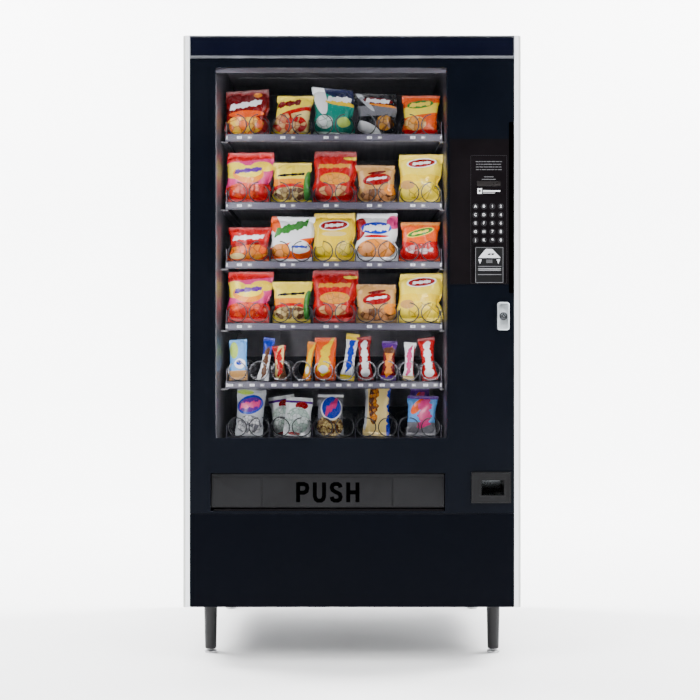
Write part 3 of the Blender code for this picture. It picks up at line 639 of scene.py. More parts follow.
def inflated_packet(name, tall, columns, rows, seed, pressure, shrink):
    """The packet filled by a cloth simulation with its crimped ends held flat."""
    data = packet_cage(name, tall, columns, rows, seed)
    obj = bpy.data.objects.new(name, data)
    bpy.context.scene.collection.objects.link(obj)
    seals = obj.vertex_groups.new(name="seals")
    held = [v.index for v in data.vertices if not SEAL_SHARE < v.co.z / tall < 1 - SEAL_SHARE]
    seals.add(held, 1.0, "REPLACE")
    cloth = obj.modifiers.new("fill", "CLOTH")
    settings = cloth.settings
    settings.quality = 6
    settings.mass = 0.3
    settings.tension_stiffness = 40
    settings.compression_stiffness = 40
    settings.shear_stiffness = 40
    settings.bending_stiffness = 0.2
    settings.air_damping = 4
    settings.use_pressure = True
    settings.uniform_pressure_force = pressure
    settings.shrink_min = shrink
    settings.vertex_group_mass = "seals"
    settings.effector_weights.gravity = 0
    cloth.collision_settings.use_collision = False
    cloth.point_cache.frame_start = 1
    cloth.point_cache.frame_end = SIM_FRAMES
    for step in range(1, SIM_FRAMES + 1):
        bpy.context.scene.frame_set(step)
    graph = bpy.context.evaluated_depsgraph_get()
    filled = bpy.data.meshes.new_from_object(obj.evaluated_get(graph))
    bpy.data.objects.remove(obj)
    bpy.context.scene.frame_set(1)
    return filled


def packet_shapes():
    """Master shapes of width 1: plump and slack crisp packets, a pouch and a wrapped bar."""
    return {
        "plump": (inflated_packet("shape_plump", 1.25, 36, 44, 3, 12, -0.08), 1.25),
        "slack": (inflated_packet("shape_slack", 1.10, 34, 38, 11, 8, -0.10), 1.10),
        "pouch": (inflated_packet("shape_pouch", 1.60, 26, 42, 23, 4, -0.04), 1.60),
        "bar": (inflated_packet("shape_bar", 2.60, 16, 44, 31, 9, -0.05), 2.60),
    }


def shaped_packet(name, shape, size, seed, slump):
    """A copy of a master at a packet's own width, thickness and height, with its own dents and lean."""
    master, tall = shape
    width, thick, high = size
    data = master.copy()
    data.name = name
    depth = max(abs(v.co.y) for v in data.vertices)
    offset = Vector((seed * 3.1, seed * 1.7, seed * 0.9))
    for vert in data.vertices:
        u, v = vert.co.x, vert.co.z / tall
        body = max(0.0, min(1.0, 6 * v, 6 * (1 - v)))
        dent = noise.noise(Vector((u * 3, vert.co.y * 3, v * 4)) + offset) * 0.22 * body
        ruffle = noise.noise(Vector((u * 9, 0, v * 2)) + offset) * 0.05 * (1 - body)
        x = width * (u * (1 + 0.04 * math.sin(3 * v + seed)) + slump * 0.10 * v * v)
        y = thick / 2 * (vert.co.y / depth * (1 + dent)) + width * ruffle
        fold = max(0.0, v - 0.72 - 0.25 * slump * u)
        vert.co = (x, y - fold * fold * abs(slump) * high * 1.6, high * (v - fold * fold * abs(slump) * 0.8))
    return data


# --- Packets: print ---------------------------------------------------------------------
RED, CRIMSON, MAROON = (0.40, 0.0015, 0.003), (0.23, 0.001, 0.003), (0.11, 0.001, 0.002)
ORANGE, AMBER, GOLD = (0.66, 0.070, 0.002), (0.68, 0.20, 0.006), (0.54, 0.23, 0.014)
YELLOW, LEMON, CREAM = (0.74, 0.50, 0.006), (0.76, 0.57, 0.035), (0.66, 0.49, 0.18)
WHITE, SILVERY, GREY = (0.70, 0.71, 0.74), (0.36, 0.38, 0.42), (0.13, 0.13, 0.15)
GREEN, TEAL, NAVY = (0.025, 0.16, 0.020), (0.006, 0.19, 0.14), (0.004, 0.007, 0.040)
BLUE, SKY, PURPLE = (0.008, 0.025, 0.34), (0.10, 0.30, 0.66), (0.08, 0.012, 0.20)
PINK, TAN = (0.52, 0.030, 0.16), (0.46, 0.24, 0.07)
BROWN, BLACK = (0.085, 0.030, 0.012), (0.006, 0.006, 0.008)
PEACH, MIST, LIME = (0.68, 0.28, 0.10), (0.36, 0.47, 0.42), (0.34, 0.48, 0.07)


class Print(Finish):
    """Printed film: bands, ovals, heaps of crisps and brush strokes laid over a base colour.

    u runs 0 to 1 across the packet and v 0 to 1 up it.
    """

    def __init__(self, name, base, width, high):
        super().__init__(name, base, 0.26, Coat_Weight=0.10, Coat_Roughness=0.12, Specular_IOR_Level=0.25)
        at = self.place()
        x, _, z = self.split(at)
        self.at = self.scaled(at, (1 / width, 1 / width, 1 / width))
        wobble = self.math("MULTIPLY", self.math("SUBTRACT", self.noise(self.at, 5.0), 0.5), 0.03)
        self.u = self.math("ADD", self.math("DIVIDE", x, width), 0.5)
        self.v = self.math("ADD", self.math("DIVIDE", z, high), wobble)
        self.ends = self.math("DIVIDE", z, high)
        self.colour = self.mix(0.0, base, base)

    def lay(self, mask, colour):
        self.colour = self.mix(mask, self.colour, colour)
        return self

    def sloped(self, slope, curve):
        side = self.math("SUBTRACT", self.u, 0.5)
        lifted = self.math("SUBTRACT", self.v, self.math("MULTIPLY", side, slope))
        return self.math("ADD", lifted, self.math("MULTIPLY", self.math("MULTIPLY", side, side), curve))

    def band(self, low, high, colour, slope=0.0, curve=0.0):
        return self.lay(self.between(self.sloped(slope, curve), low, high, 0.008), colour)

    def oval_mask(self, u, v, wide, high, tilt=0.0):
        du = self.math("SUBTRACT", self.u, u)
        dv = self.math("SUBTRACT", self.math("SUBTRACT", self.v, v), self.math("MULTIPLY", du, tilt))
        first = self.math("POWER", self.math("DIVIDE", self.math("ABSOLUTE", du), wide), 2.0)
        second = self.math("POWER", self.math("DIVIDE", self.math("ABSOLUTE", dv), high), 2.0)
        return self.math("SUBTRACT", 1.0, self.step(self.math("ADD", first, second), 1.0, 0.06))

    def oval(self, u, v, wide, high, colour, tilt=0.0):
        return self.lay(self.oval_mask(u, v, wide, high, tilt), colour)

    def badge(self, u, v, wide, high, rim, fill, tilt=0.0):
        """An oval with a rim and a row of strokes across it."""
        self.oval(u, v, wide, high, rim, tilt)
        self.oval(u, v, wide * 0.9, high * 0.82, fill, tilt)
        return self.wordmark(u, v, wide * 0.60, high * 0.34, rim, tilt)

    def wordmark(self, u, v, wide, high, colour, tilt=0.0, upright=False):
        """One broad brush stroke with uneven edges that stands where a packet has its title."""
        along = self.math("SUBTRACT", self.u, u)
        across = self.math("SUBTRACT", self.math("SUBTRACT", self.v, v), self.math("MULTIPLY", along, tilt))
        if upright:
            along, across = across, along
        wave = self.math("SINE", self.math("MULTIPLY", self.math("ADD", along, u + 1.7 * v), 9.0 / wide))
        ripple = self.math("SINE", self.math("MULTIPLY", along, 23.0 / wide))
        tall = self.span(wave, -1.0, 1.0, 0.62 * high, high)
        tall = self.math("ADD", tall, self.math("MULTIPLY", ripple, 0.10 * high))
        over = self.math("SUBTRACT", self.math("ABSOLUTE", across), tall)
        slant = self.math("SUBTRACT", along, self.math("MULTIPLY", across, 0.35))
        inside = self.math("SUBTRACT", 1.0, self.step(self.math("ABSOLUTE", slant), wide, 0.008))
        stroke = self.math("SUBTRACT", 1.0, self.step(over, 0.0, 0.006))
        return self.lay(self.math("MULTIPLY", inside, stroke), colour)

    def heap(self, u, v, wide, high, pale, dark, scale=9.0):
        """A heap of crisps: rounded cells in two tones with dark gaps."""
        area = self.oval_mask(u, v, wide, high)
        cell = self.voronoi(self.at, scale)
        gap = self.voronoi(self.at, scale, feature="DISTANCE_TO_EDGE")
        pick = self.split(self.voronoi(self.at, scale, "Color"))[0]
        tone = self.mix(self.step(pick, 0.55, 0.2), pale, dark)
        tone = self.mix(self.span(cell, 0.0, 0.7, 0.0, 0.55), tone, dark)
        tone = self.mix(self.span(gap, 0.0, 0.07, 0.85, 0.0), tone, shade(dark, 0.25))
        ragged = self.math("MULTIPLY", area, self.step(self.noise(self.at, 5.0), 0.30, 0.02))
        return self.lay(ragged, tone)

    def rays(self, colour, count=14, share=0.4):
        angle = self.math("ARCTAN2", self.math("SUBTRACT", self.v, 0.5), self.math("SUBTRACT", self.u, 0.5))
        beam = self.step(self.math("SINE", self.math("MULTIPLY", angle, count)), 0.3, 0.15)
        return self.lay(self.math("MULTIPLY", beam, share), colour)

    def finish(self):
        """Adds the crimped ends, the fold lines and the creases of the film."""
        crimp = self.math("SUBTRACT", 1.0, self.between(self.ends, SEAL_SHARE, 1 - SEAL_SHARE, 0.006))
        ribs = self.math("SINE", self.math("MULTIPLY", self.ends, 420.0))
        crease = self.noise(self.scaled(self.at, (1.0, 1.0, 0.6)), 3.6, 2.0, 0.5, 0.8)
        ridge = self.math("ABSOLUTE", self.math("SUBTRACT", crease, 0.5))
        fade = self.span(ridge, 0.0, 0.03, 0.03, 0.0)
        tone = self.mix(fade, self.colour, (0.75, 0.75, 0.76))
        self.set("Base Color", self.mix(self.math("MULTIPLY", crimp, 0.06), tone, (0.85, 0.85, 0.86)))
        self.set("Roughness", self.span(ridge, 0.0, 0.2, 0.18, 0.34))
        self.bump(self.math("MULTIPLY", crimp, ribs), 0.5, 0.0006)
        self.bump(ridge, 0.4, 0.003)
        return self.material


def design_maroon_corn(p):
    p.rays(CRIMSON).band(0.70, 1.1, MAROON, -0.2).heap(0.45, 0.24, 0.42, 0.20, LEMON, ORANGE, 6)
    p.oval(0.5, 0.46, 0.40, 0.07, ORANGE).wordmark(0.5, 0.66, 0.36, 0.07, WHITE, 0.12)
    p.oval(0.78, 0.86, 0.10, 0.05, AMBER)


def design_cream_corn(p):
    p.band(0.60, 1.1, LEMON, 0.35).band(0.52, 0.62, RED, 0.35, 0.3).band(0.0, 0.10, YELLOW)
    p.heap(0.45, 0.28, 0.46, 0.24, CREAM, RED, 7).wordmark(0.42, 0.76, 0.30, 0.075, MAROON, 0.2)


def design_teal(p):
    p.band(0.78, 1.2, NAVY, -0.35).oval(0.12, 0.80, 0.20, 0.30, WHITE, -1.2)
    p.oval(0.62, 0.66, 0.36, 0.05, YELLOW, -0.1)
    p.wordmark(0.60, 0.74, 0.28, 0.06, WHITE, -0.05).heap(0.26, 0.28, 0.20, 0.13, WHITE, MIST, 6)
    p.oval(0.72, 0.28, 0.16, 0.10, LIME).band(0.0, 0.09, MIST)


def design_black_ridged(p):
    p.band(0.45, 0.68, GREY).oval(0.16, 0.82, 0.26, 0.08, SILVERY, -1.0)
    p.oval(0.5, 0.80, 0.36, 0.08, MAROON, -0.1)
    p.wordmark(0.5, 0.80, 0.28, 0.058, WHITE, -0.1).oval(0.62, 0.69, 0.34, 0.03, AMBER, -0.12)
    p.heap(0.68, 0.30, 0.22, 0.16, GOLD, BROWN, 5).oval(0.24, 0.18, 0.34, 0.13, WHITE, -0.35)


def design_orange_puffs(p):
    p.band(0.72, 1.1, ORANGE).band(0.50, 0.74, LEMON, 0.15).band(0.0, 0.16, RED)
    p.oval(0.5, 0.76, 0.36, 0.10, GREEN, 0.1)
    p.wordmark(0.5, 0.76, 0.28, 0.06, LEMON, 0.1).heap(0.36, 0.30, 0.30, 0.16, CREAM, AMBER, 7)


def design_red_rings(p):
    p.band(0.80, 1.2, RED, 0.12).band(0.0, 0.13, RED).band(0.34, 0.82, PINK, 0.1)
    p.oval(0.2, 0.62, 0.28, 0.16, LEMON)
    p.oval(0.80, 0.70, 0.25, 0.10, YELLOW).oval(0.5, 0.55, 0.34, 0.17, AMBER)
    p.oval(0.5, 0.60, 0.30, 0.12, LEMON)
    p.wordmark(0.5, 0.62, 0.30, 0.05, PURPLE, 0.1).heap(0.45, 0.24, 0.44, 0.14, ORANGE, RED, 6)


def design_yellow_mix(p):
    p.band(0.42, 0.58, AMBER).band(0.30, 0.46, RED, 0.0, 0.3).heap(0.5, 0.22, 0.46, 0.17, CREAM, BROWN, 9)
    p.oval(0.95, 0.35, 0.14, 0.42, GREEN).wordmark(0.5, 0.68, 0.34, 0.034, BLACK, 0.05).band(0.0, 0.08, LEMON)


def design_red_emblem(p):
    p.rays(CRIMSON).oval(0.5, 0.46, 0.34, 0.11, GOLD).heap(0.5, 0.46, 0.26, 0.09, AMBER, TAN, 8)
    p.wordmark(0.5, 0.70, 0.36, 0.046, GOLD).heap(0.5, 0.24, 0.36, 0.10, CREAM, RED, 5)
    p.oval(0.86, 0.86, 0.16, 0.04, LEMON).band(0.88, 1.1, CRIMSON)


def design_tan_emblem(p):
    p.oval(0.5, 0.60, 0.34, 0.15, CRIMSON, 0.1).oval(0.5, 0.78, 0.22, 0.04, MAROON, 0.15)
    p.wordmark(0.5, 0.62, 0.24, 0.036, WHITE, 0.15).heap(0.5, 0.20, 0.40, 0.16, PEACH, BROWN, 6)
    p.oval(0.85, 0.34, 0.18, 0.14, AMBER)


def design_yellow_plain(p):
    p.band(0.42, 0.58, YELLOW, 0.0, 0.2).badge(0.55, 0.80, 0.34, 0.10, WHITE, CRIMSON, 0.08)
    p.oval(0.55, 0.60, 0.28, 0.05, LEMON).heap(0.62, 0.22, 0.38, 0.18, LEMON, YELLOW, 4)
    p.oval(0.22, 0.36, 0.16, 0.09, TAN)


def design_red_crackers(p):
    p.band(0.0, 0.10, ORANGE).heap(0.5, 0.28, 0.46, 0.22, GOLD, ORANGE, 5).band(0.46, 0.56, CRIMSON, 0.1, 0.2)
    p.wordmark(0.5, 0.68, 0.36, 0.075, WHITE, 0.05).oval(0.22, 0.16, 0.18, 0.08, CREAM)


def design_white_green(p):
    p.oval(0.05, 0.86, 0.20, 0.20, ORANGE, -0.8).wordmark(0.5, 0.74, 0.38, 0.105, GREEN, 0.3)
    p.band(0.0, 0.42, ORANGE, 0.25).heap(0.25, 0.24, 0.22, 0.14, PEACH, AMBER, 5)
    p.oval(0.68, 0.32, 0.26, 0.14, WHITE)
    p.wordmark(0.68, 0.32, 0.18, 0.032, BLUE).band(0.0, 0.06, WHITE)


def design_yellow_oval(p):
    p.band(0.86, 1.1, YELLOW).badge(0.5, 0.74, 0.36, 0.11, WHITE, CRIMSON, 0.05)
    p.oval(0.5, 0.56, 0.30, 0.05, CREAM)
    p.heap(0.28, 0.28, 0.20, 0.15, LEMON, YELLOW, 4).heap(0.76, 0.28, 0.20, 0.15, CREAM, LEMON, 5)


def design_white_skins(p):
    p.oval(0.08, 0.66, 0.18, 0.22, CRIMSON, 0.4).oval(0.90, 0.80, 0.16, 0.14, PINK)
    p.oval(0.5, 0.68, 0.36, 0.13, BLUE)
    p.wordmark(0.5, 0.68, 0.30, 0.074, WHITE).oval(0.5, 0.51, 0.30, 0.03, RED)
    p.heap(0.5, 0.26, 0.46, 0.20, PEACH, AMBER, 4).oval(0.28, 0.28, 0.12, 0.10, PEACH).band(0.0, 0.10, WHITE)


def design_orange_flames(p):
    p.band(0.0, 0.44, RED, 0.0, -0.4).badge(0.52, 0.72, 0.34, 0.10, LEMON, GREEN, 0.25)
    p.heap(0.5, 0.30, 0.34, 0.12, WHITE, RED, 8).band(0.90, 1.1, AMBER)


def design_sky_mints(p):
    p.band(0.0, 0.24, TAN).oval(0.30, 0.72, 0.22, 0.20, LIME).oval(0.6, 0.40, 0.30, 0.12, WHITE)
    p.oval(0.55, 0.42, 0.16, 0.06, BLUE)


def design_blue_white(p):
    p.band(0.0, 0.60, WHITE).wordmark(0.5, 0.42, 0.34, 0.24, BROWN, upright=True).band(0.80, 1.1, BLUE)


def design_red_twist(p):
    p.band(0.0, 0.5, BROWN).oval(0.5, 0.55, 0.40, 0.40, CREAM, 0.8)
    p.wordmark(0.5, 0.5, 0.34, 0.24, RED, upright=True)


def design_orange_cups(p):
    p.oval(0.5, 0.62, 0.44, 0.12, YELLOW, 0.9).wordmark(0.5, 0.48, 0.34, 0.24, YELLOW, upright=True)
    p.oval(0.4, 0.26, 0.22, 0.09, WHITE)


def design_blue_silver(p):
    p.rays(SILVERY, 22, 0.8).wordmark(0.5, 0.55, 0.34, 0.24, BLUE, upright=True).band(0.86, 1.1, YELLOW)
    p.band(0.0, 0.12, LEMON)


def design_red_white_bar(p):
    p.wordmark(0.5, 0.55, 0.34, 0.24, WHITE, upright=True).oval(0.5, 0.18, 0.30, 0.10, WHITE)
    p.band(0.9, 1.1, CRIMSON)


def design_purple_bar(p):
    p.band(0.12, 0.72, MAROON).wordmark(0.5, 0.45, 0.34, 0.24, AMBER, upright=True)
    p.oval(0.5, 0.75, 0.4, 0.08, BROWN)


def design_pink_bar(p):
    p.wordmark(0.5, 0.5, 0.34, 0.24, PINK, upright=True).band(0.0, 0.12, CREAM).oval(0.9, 0.5, 0.08, 0.4, RED)


def design_purple_silver(p):
    p.oval(0.5, 0.66, 0.46, 0.20, BLUE, 0.1).oval(0.5, 0.66, 0.40, 0.15, PURPLE, 0.1)
    p.oval(0.3, 0.92, 0.30, 0.05, LIME)
    p.wordmark(0.5, 0.66, 0.34, 0.075, PINK, 0.1).heap(0.5, 0.24, 0.44, 0.20, WHITE, GREY, 8)


def design_clear_mints(p):
    p.band(0.90, 1.1, WHITE).band(0.84, 0.90, PURPLE).oval(0.62, 0.78, 0.24, 0.10, CRIMSON)
    p.oval(0.5, 0.45, 0.30, 0.28, GREEN)
    p.oval(0.5, 0.45, 0.26, 0.24, MIST).heap(0.5, 0.40, 0.46, 0.34, WHITE, MIST, 7)
    p.oval(0.4, 0.06, 0.24, 0.04, CRIMSON)


def design_shield(p):
    p.band(0.93, 1.1, WHITE).heap(0.5, 0.24, 0.50, 0.26, CREAM, BROWN, 12).oval(0.55, 0.66, 0.40, 0.28, WHITE)
    p.oval(0.55, 0.68, 0.36, 0.26, BLUE).wordmark(0.55, 0.70, 0.22, 0.12, PINK, 0.6)


def design_tall_wafer(p):
    p.oval(0.94, 0.5, 0.10, 0.6, BLUE).oval(0.05, 0.6, 0.10, 0.5, SILVERY)
    p.heap(0.38, 0.62, 0.20, 0.40, AMBER, BROWN, 7)
    p.wordmark(0.7, 0.5, 0.34, 0.24, CREAM, upright=True)


def design_purple_wafer(p):
    p.band(0.0, 0.34, GREY).oval(0.36, 0.72, 0.22, 0.14, ORANGE, 0.6).oval(0.66, 0.50, 0.24, 0.20, SKY)
    p.wordmark(0.6, 0.56, 0.34, 0.24, PINK, upright=True).band(0.90, 1.1, PURPLE)


# name, design, base colour, shape, (width, thickness, height) in mm,
# sideways shift in mm, lean in degrees, slump
ROW_UPPER = (
    ("corn_red", design_maroon_corn, MAROON, "plump", (138, 44, 150), -3, -3, 0.5),
    ("corn_cream", design_cream_corn, CREAM, "slack", (120, 42, 134), -2, 3, 0.9),
    ("crisps_teal", design_teal, TEAL, "plump", (132, 44, 158), 0, 2, -0.9),
    ("crisps_black", design_black_ridged, BLACK, "plump", (130, 44, 140), 3, 0, -0.7),
    ("puffs_orange", design_orange_puffs, ORANGE, "slack", (116, 42, 132), 2, 0, 0.3),
)
ROW_MIXED = (
    ("rings_red", design_red_rings, RED, "plump", (142, 46, 166), -2, 1, 0.5),
    ("mix_yellow", design_yellow_mix, LEMON, "slack", (124, 40, 132), 0, 0, 0.3),
    ("emblem_red", design_red_emblem, RED, "plump", (138, 46, 168), 2, 0, 0.2),
    ("emblem_tan", design_tan_emblem, TAN, "slack", (130, 44, 124), 0, 0, -0.4),
    ("crisps_pale", design_yellow_plain, LEMON, "plump", (138, 46, 160), 0, 0, 0.5),
)
ROW_MIDDLE = (
    ("crackers_red", design_red_crackers, RED, "slack", (132, 42, 112), 0, 0, 0.4),
    ("crisps_white", design_white_green, WHITE, "plump", (134, 44, 146), 0, 1, 0.3),
    ("crisps_yellow", design_yellow_oval, YELLOW, "plump", (130, 44, 156), 0, 0, 0.1),
    ("skins_white", design_white_skins, WHITE, "plump", (132, 44, 156), -1, 0, 0.2),
    ("flames_orange", design_orange_flames, ORANGE, "slack", (128, 42, 128), 0, 0, 0.3),
)
ROW_BARS = (
    ("mints_sky", design_sky_mints, SKY, "pouch", (58, 20, 132), 2, -2, 0.4),
    ("bar_blue", design_blue_white, BLUE, "bar", (36, 20, 138), 10, 9, 0.2),
    ("bar_twist", design_red_twist, RED, "bar", (42, 20, 112), 0, -4, 0.3),
    ("bar_amber", design_orange_cups, AMBER, "bar", (26, 16, 124), 14, 8, 0.1),
    ("cups_orange", design_orange_cups, ORANGE, "pouch", (66, 22, 136), 6, 0, 0.1),
    ("bar_stripes", design_blue_silver, WHITE, "bar", (44, 20, 150), 6, 8, 0.2),
    ("bar_red", design_red_white_bar, CRIMSON, "bar", (48, 22, 140), -1, -3, 0.2),
    ("bar_purple", design_purple_bar, PURPLE, "bar", (50, 20, 126), 2, 2, 0.3),
    ("bar_white", design_pink_bar, WHITE, "bar", (38, 18, 122), -2, 3, 0.2),
    ("bar_crimson", design_red_white_bar, RED, "bar", (52, 22, 138), 0, -6, 0.3),
)
ROW_LOWER = (
    ("pouch_purple", design_purple_silver, SILVERY, "pouch", (88, 34, 150), 0, 3, 0.2),
    ("mints_clear", design_clear_mints, WHITE, "pouch", (84, 34, 124), 16, 4, 0.2),
    ("nuts_shield", design_shield, GREY, "pouch", (84, 34, 132), -14, 1, 0.1),
    ("wafer_tall", design_tall_wafer, CREAM, "pouch", (84, 34, 168), -2, 2, 0.1),
    ("wafer_purple", design_purple_wafer, SKY, "pouch", (96, 34, 130), 4, 2, 0.3),
)
BEHIND_LOWER = (
    ("mints_behind", design_clear_mints, WHITE, "pouch", (84, 30, 128), -18, -9, 0.2),
    ("wafer_behind", design_purple_wafer, PURPLE, "pouch", (60, 28, 152), 4, 0, 0.2),
)
STOCK = ((0, ROW_UPPER), (1, ROW_MIXED), (2, ROW_MIDDLE), (3, ROW_MIXED), (4, ROW_BARS), (5, ROW_LOWER))


def packet(tray, name, design, base, shape, size, middle_x, front_y, lean, slump, seed):
    width, thick, high = (value * MM for value in size)
    data = shaped_packet(name, shape, (width, thick, high), seed, slump)
    label = Print(f"{name}_print", base, width, high)
    design(label)
    piece = shown(name, data, label.finish(), f"tray_{tray + 1}", 60)
    bottom = TRAY_TOPS[tray] + 0.0015
    tilt = Matrix.Rotation(math.radians(lean), 4, "Y") @ Matrix.Rotation(math.radians(-4), 4, "X")
    piece.matrix_local = Matrix.Translation((middle_x, front_y, bottom)) @ tilt
    return piece


def stock():
    shapes = packet_shapes()
    turn = SPIRAL_RUN / SPIRAL_TURNS
    seed = 0
    for tray, row in STOCK:
        lane_pitch = (TRAYS[tray][1].x - TRAYS[tray][0].x) / len(row)
        for lane, (name, design, base, shape, size, shift, lean, slump) in enumerate(row):
            seed += 1
            x = TRAYS[tray][0].x + (lane + 0.5) * lane_pitch + shift * MM
            y = SPIRAL_FRONT + turn * FIRST_PACKET
            packet(tray, f"{name}_{tray + 1}", design, base, shapes[shape], size, x, y, lean, slump, seed)
    lane_pitch = (TRAYS[5][1].x - TRAYS[5][0].x) / 5
    for (name, design, base, shape, size, shift, lean, slump), lane in zip(BEHIND_LOWER, (1, 4)):
        x = TRAYS[5][0].x + (lane + 0.5) * lane_pitch + shift * MM
        y = SPIRAL_FRONT + turn * SECOND_PACKET
        packet(5, name, design, base, shapes[shape], size, x, y, lean, slump, 40 + lane)


# --- Tray fronts ------------------------------------------------------------------------
def price_strips():
    """The front strip of each tray with its rails, end clips and tags."""
    for tray, (low, high) in enumerate(TRAYS):
        body = f"tray_{tray + 1}"
        top = TRAY_TOPS[tray]
        face = low.y - 0.0016
        ends = (low.x + 0.007, high.x - 0.007)
        plate(f"price_strip_{tray + 1}", rectangle(ends[0], low.z + 0.003, ends[1], top - 0.003, 0.001),
              low.y, face, STRIP_LAVENDER, body, 0.0005)
        rails = [
            ((low.x + 0.004, face - 0.0012, low.z + 0.0004), (high.x - 0.004, low.y, low.z + 0.0032)),
            ((low.x + 0.004, face - 0.0012, top - 0.0032), (high.x - 0.004, low.y, top - 0.0004)),
        ]
        blocks(f"strip_rails_{tray + 1}", rails, TRAY_PAINT, body, 0.0006)
        clips = []
        for x in (low.x + 0.0025, high.x - 0.0065):
            clips.append(((x, face - 0.0016, low.z + 0.006), (x + 0.004, low.y, top - 0.006)))
        blocks(f"strip_clips_{tray + 1}", clips, CARD_WHITE, body, 0.0008)
        tags(tray, low, high, face, (low.z + top) / 2, body)


def tags(tray, low, high, face, middle_z, body):
    """A selection number and a small symbol tag under each lane."""
    lanes = LANES[tray]
    pitch = (high.x - low.x) / lanes
    number_at, symbol_at = (-0.024, 0.008) if lanes == 5 else (-0.018, 0.013)
    numbers, symbols, marks = [], [], []
    for lane in range(lanes):
        centre = low.x + (lane + 0.5) * pitch
        x = centre + number_at
        numbers.append(((x - 0.0075, face - 0.0004, middle_z - 0.0038),
                        (x + 0.0075, face, middle_z + 0.0038)))
        code = f"{tray + 1}{lane * (10 // lanes):01d}"
        lettering(f"lane_number_{tray + 1}_{lane}", code, (x, face - 0.0005, middle_z), 0.0052, INK_BLACK,
                  body)
        x = centre + symbol_at
        symbols.append(((x - 0.007, face - 0.0004, middle_z - 0.0050), (x + 0.007, face, middle_z + 0.0050)))
        marks.append(((x - 0.0045, face - 0.0007, middle_z - 0.0026), (x + 0.0015, face - 0.0003,
                middle_z + 0.0026)))
        marks.append(((x + 0.0025, face - 0.0007, middle_z - 0.0012), (x + 0.0048, face - 0.0003,
                middle_z + 0.0012)))
    blocks(f"number_tags_{tray + 1}", numbers, CARD_WHITE, body, 0.00015, 1)
    blocks(f"symbol_tags_{tray + 1}", symbols, INK_GREY, body, 0.00015, 1)
    blocks(f"symbol_marks_{tray + 1}", marks, CARD_WHITE, body, 0.0001, 1)


def tray_motors():
    """The motor housings clipped behind each tray's back plate."""
    for tray, (low, high) in enumerate(TRAYS):
        pitch = (high.x - low.x) / 10
        step = 1 if LANES[tray] == 10 else 2
        spans = []
        for place in range(0, 10, step):
            x = low.x + (place + step / 2) * pitch
            spans.append(((x - 0.024, high.y + 0.0005, high.z - 0.052), (x + 0.024, high.y + 0.026,
                    high.z - 0.008)))
            spans.append(((x - 0.010, high.y + 0.024, high.z - 0.044), (x + 0.014, high.y + 0.038,
                    high.z - 0.020)))
        blocks(f"tray_motors_{tray + 1}", spans, CARD_WHITE, f"tray_{tray + 1}", 0.002)


# --- Inside of the cabinet and the door --------------------------------------------------
def liner_sheets():
    """Folded sheets behind and above the trays, with shallow stiffening ribs. The back and ceiling sheets
    carry a lighter copy of the liner: painted light.
    """
    left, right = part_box("liner_wall_left")[0].x + 0.004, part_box("liner_wall_right")[1].x - 0.004
    back = SHELL_HIGH.y - 0.010
    spans = [((left, back - 0.003, SHELL_LOW.z + 0.06), (right, back, SHELL_HIGH.z - 0.012))]
    for share in (0.2, 0.4, 0.6, 0.8):
        x = left + (right - left) * share
        spans.append(((x - 0.012, back - 0.005, SHELL_LOW.z + 0.09), (x + 0.012, back - 0.002,
                SHELL_HIGH.z - 0.04)))
    blocks("liner_back_sheet", spans, LINER_PAINTED_LIGHT, "cabinet", 0.0012)
    ceiling = SHELL_HIGH.z - 0.0125
    spans = [((left, SHELL_LOW.y + 0.006, ceiling - 0.003), (right, back - 0.004, ceiling))]
    for share in (0.3, 0.6):
        y = SHELL_LOW.y + 0.006 + (back - SHELL_LOW.y) * share
        spans.append(((left + 0.03, y - 0.012, ceiling - 0.005), (right - 0.03, y + 0.012, ceiling - 0.002)))
    blocks("liner_ceiling_sheet", spans, LINER_PAINTED_LIGHT, "cabinet", 0.0012)
    floor = FLAP_HIGH.z - 0.02
    blocks("liner_floor_sheet", [((left, FLAP_HIGH.y + 0.24, floor - 0.003), (right, back - 0.004, floor))],
           LINER, "cabinet", 0.0012)


def window_lining():
    """A matt sheet along the top of the inside of the window opening."""
    low_x, high_x, high_z = GLASS_LOW.x, GLASS_HIGH.x, GLASS_HIGH.z
    front, back = GLASS_HIGH.y + 0.002, DOOR_HIGH.y - 0.002
    spans = [((low_x, front, high_z - 0.0004), (high_x, back, high_z + 0.0012))]
    blocks("window_lining", spans, WINDOW_LINING, "door", 0.0003, 1)


def lamp():
    """The upright lamp hidden behind the left edge of the window."""
    x, y = BEZEL_LOW.x - 0.018, DOOR_LOW.y + 0.058
    low, high = BEZEL_LOW.z + 0.12, BEZEL_HIGH.z - 0.02
    tube_r = 0.0125
    profile = [(0, low), (0.011, low), (tube_r, low + 0.002), (tube_r, high - 0.002), (0.011, high),
               (0, high)]
    turned("lamp_tube", profile, (x, y, 0), LAMP, "door", steps=32)
    for number, z in enumerate((low, high)):
        spans = [((x - 0.016, y - 0.012, z - 0.016), (x + 0.016, y + 0.016, z + 0.010))]
        blocks(f"lamp_holder_{number + 1}", spans, CARD_WHITE, "door", 0.003)


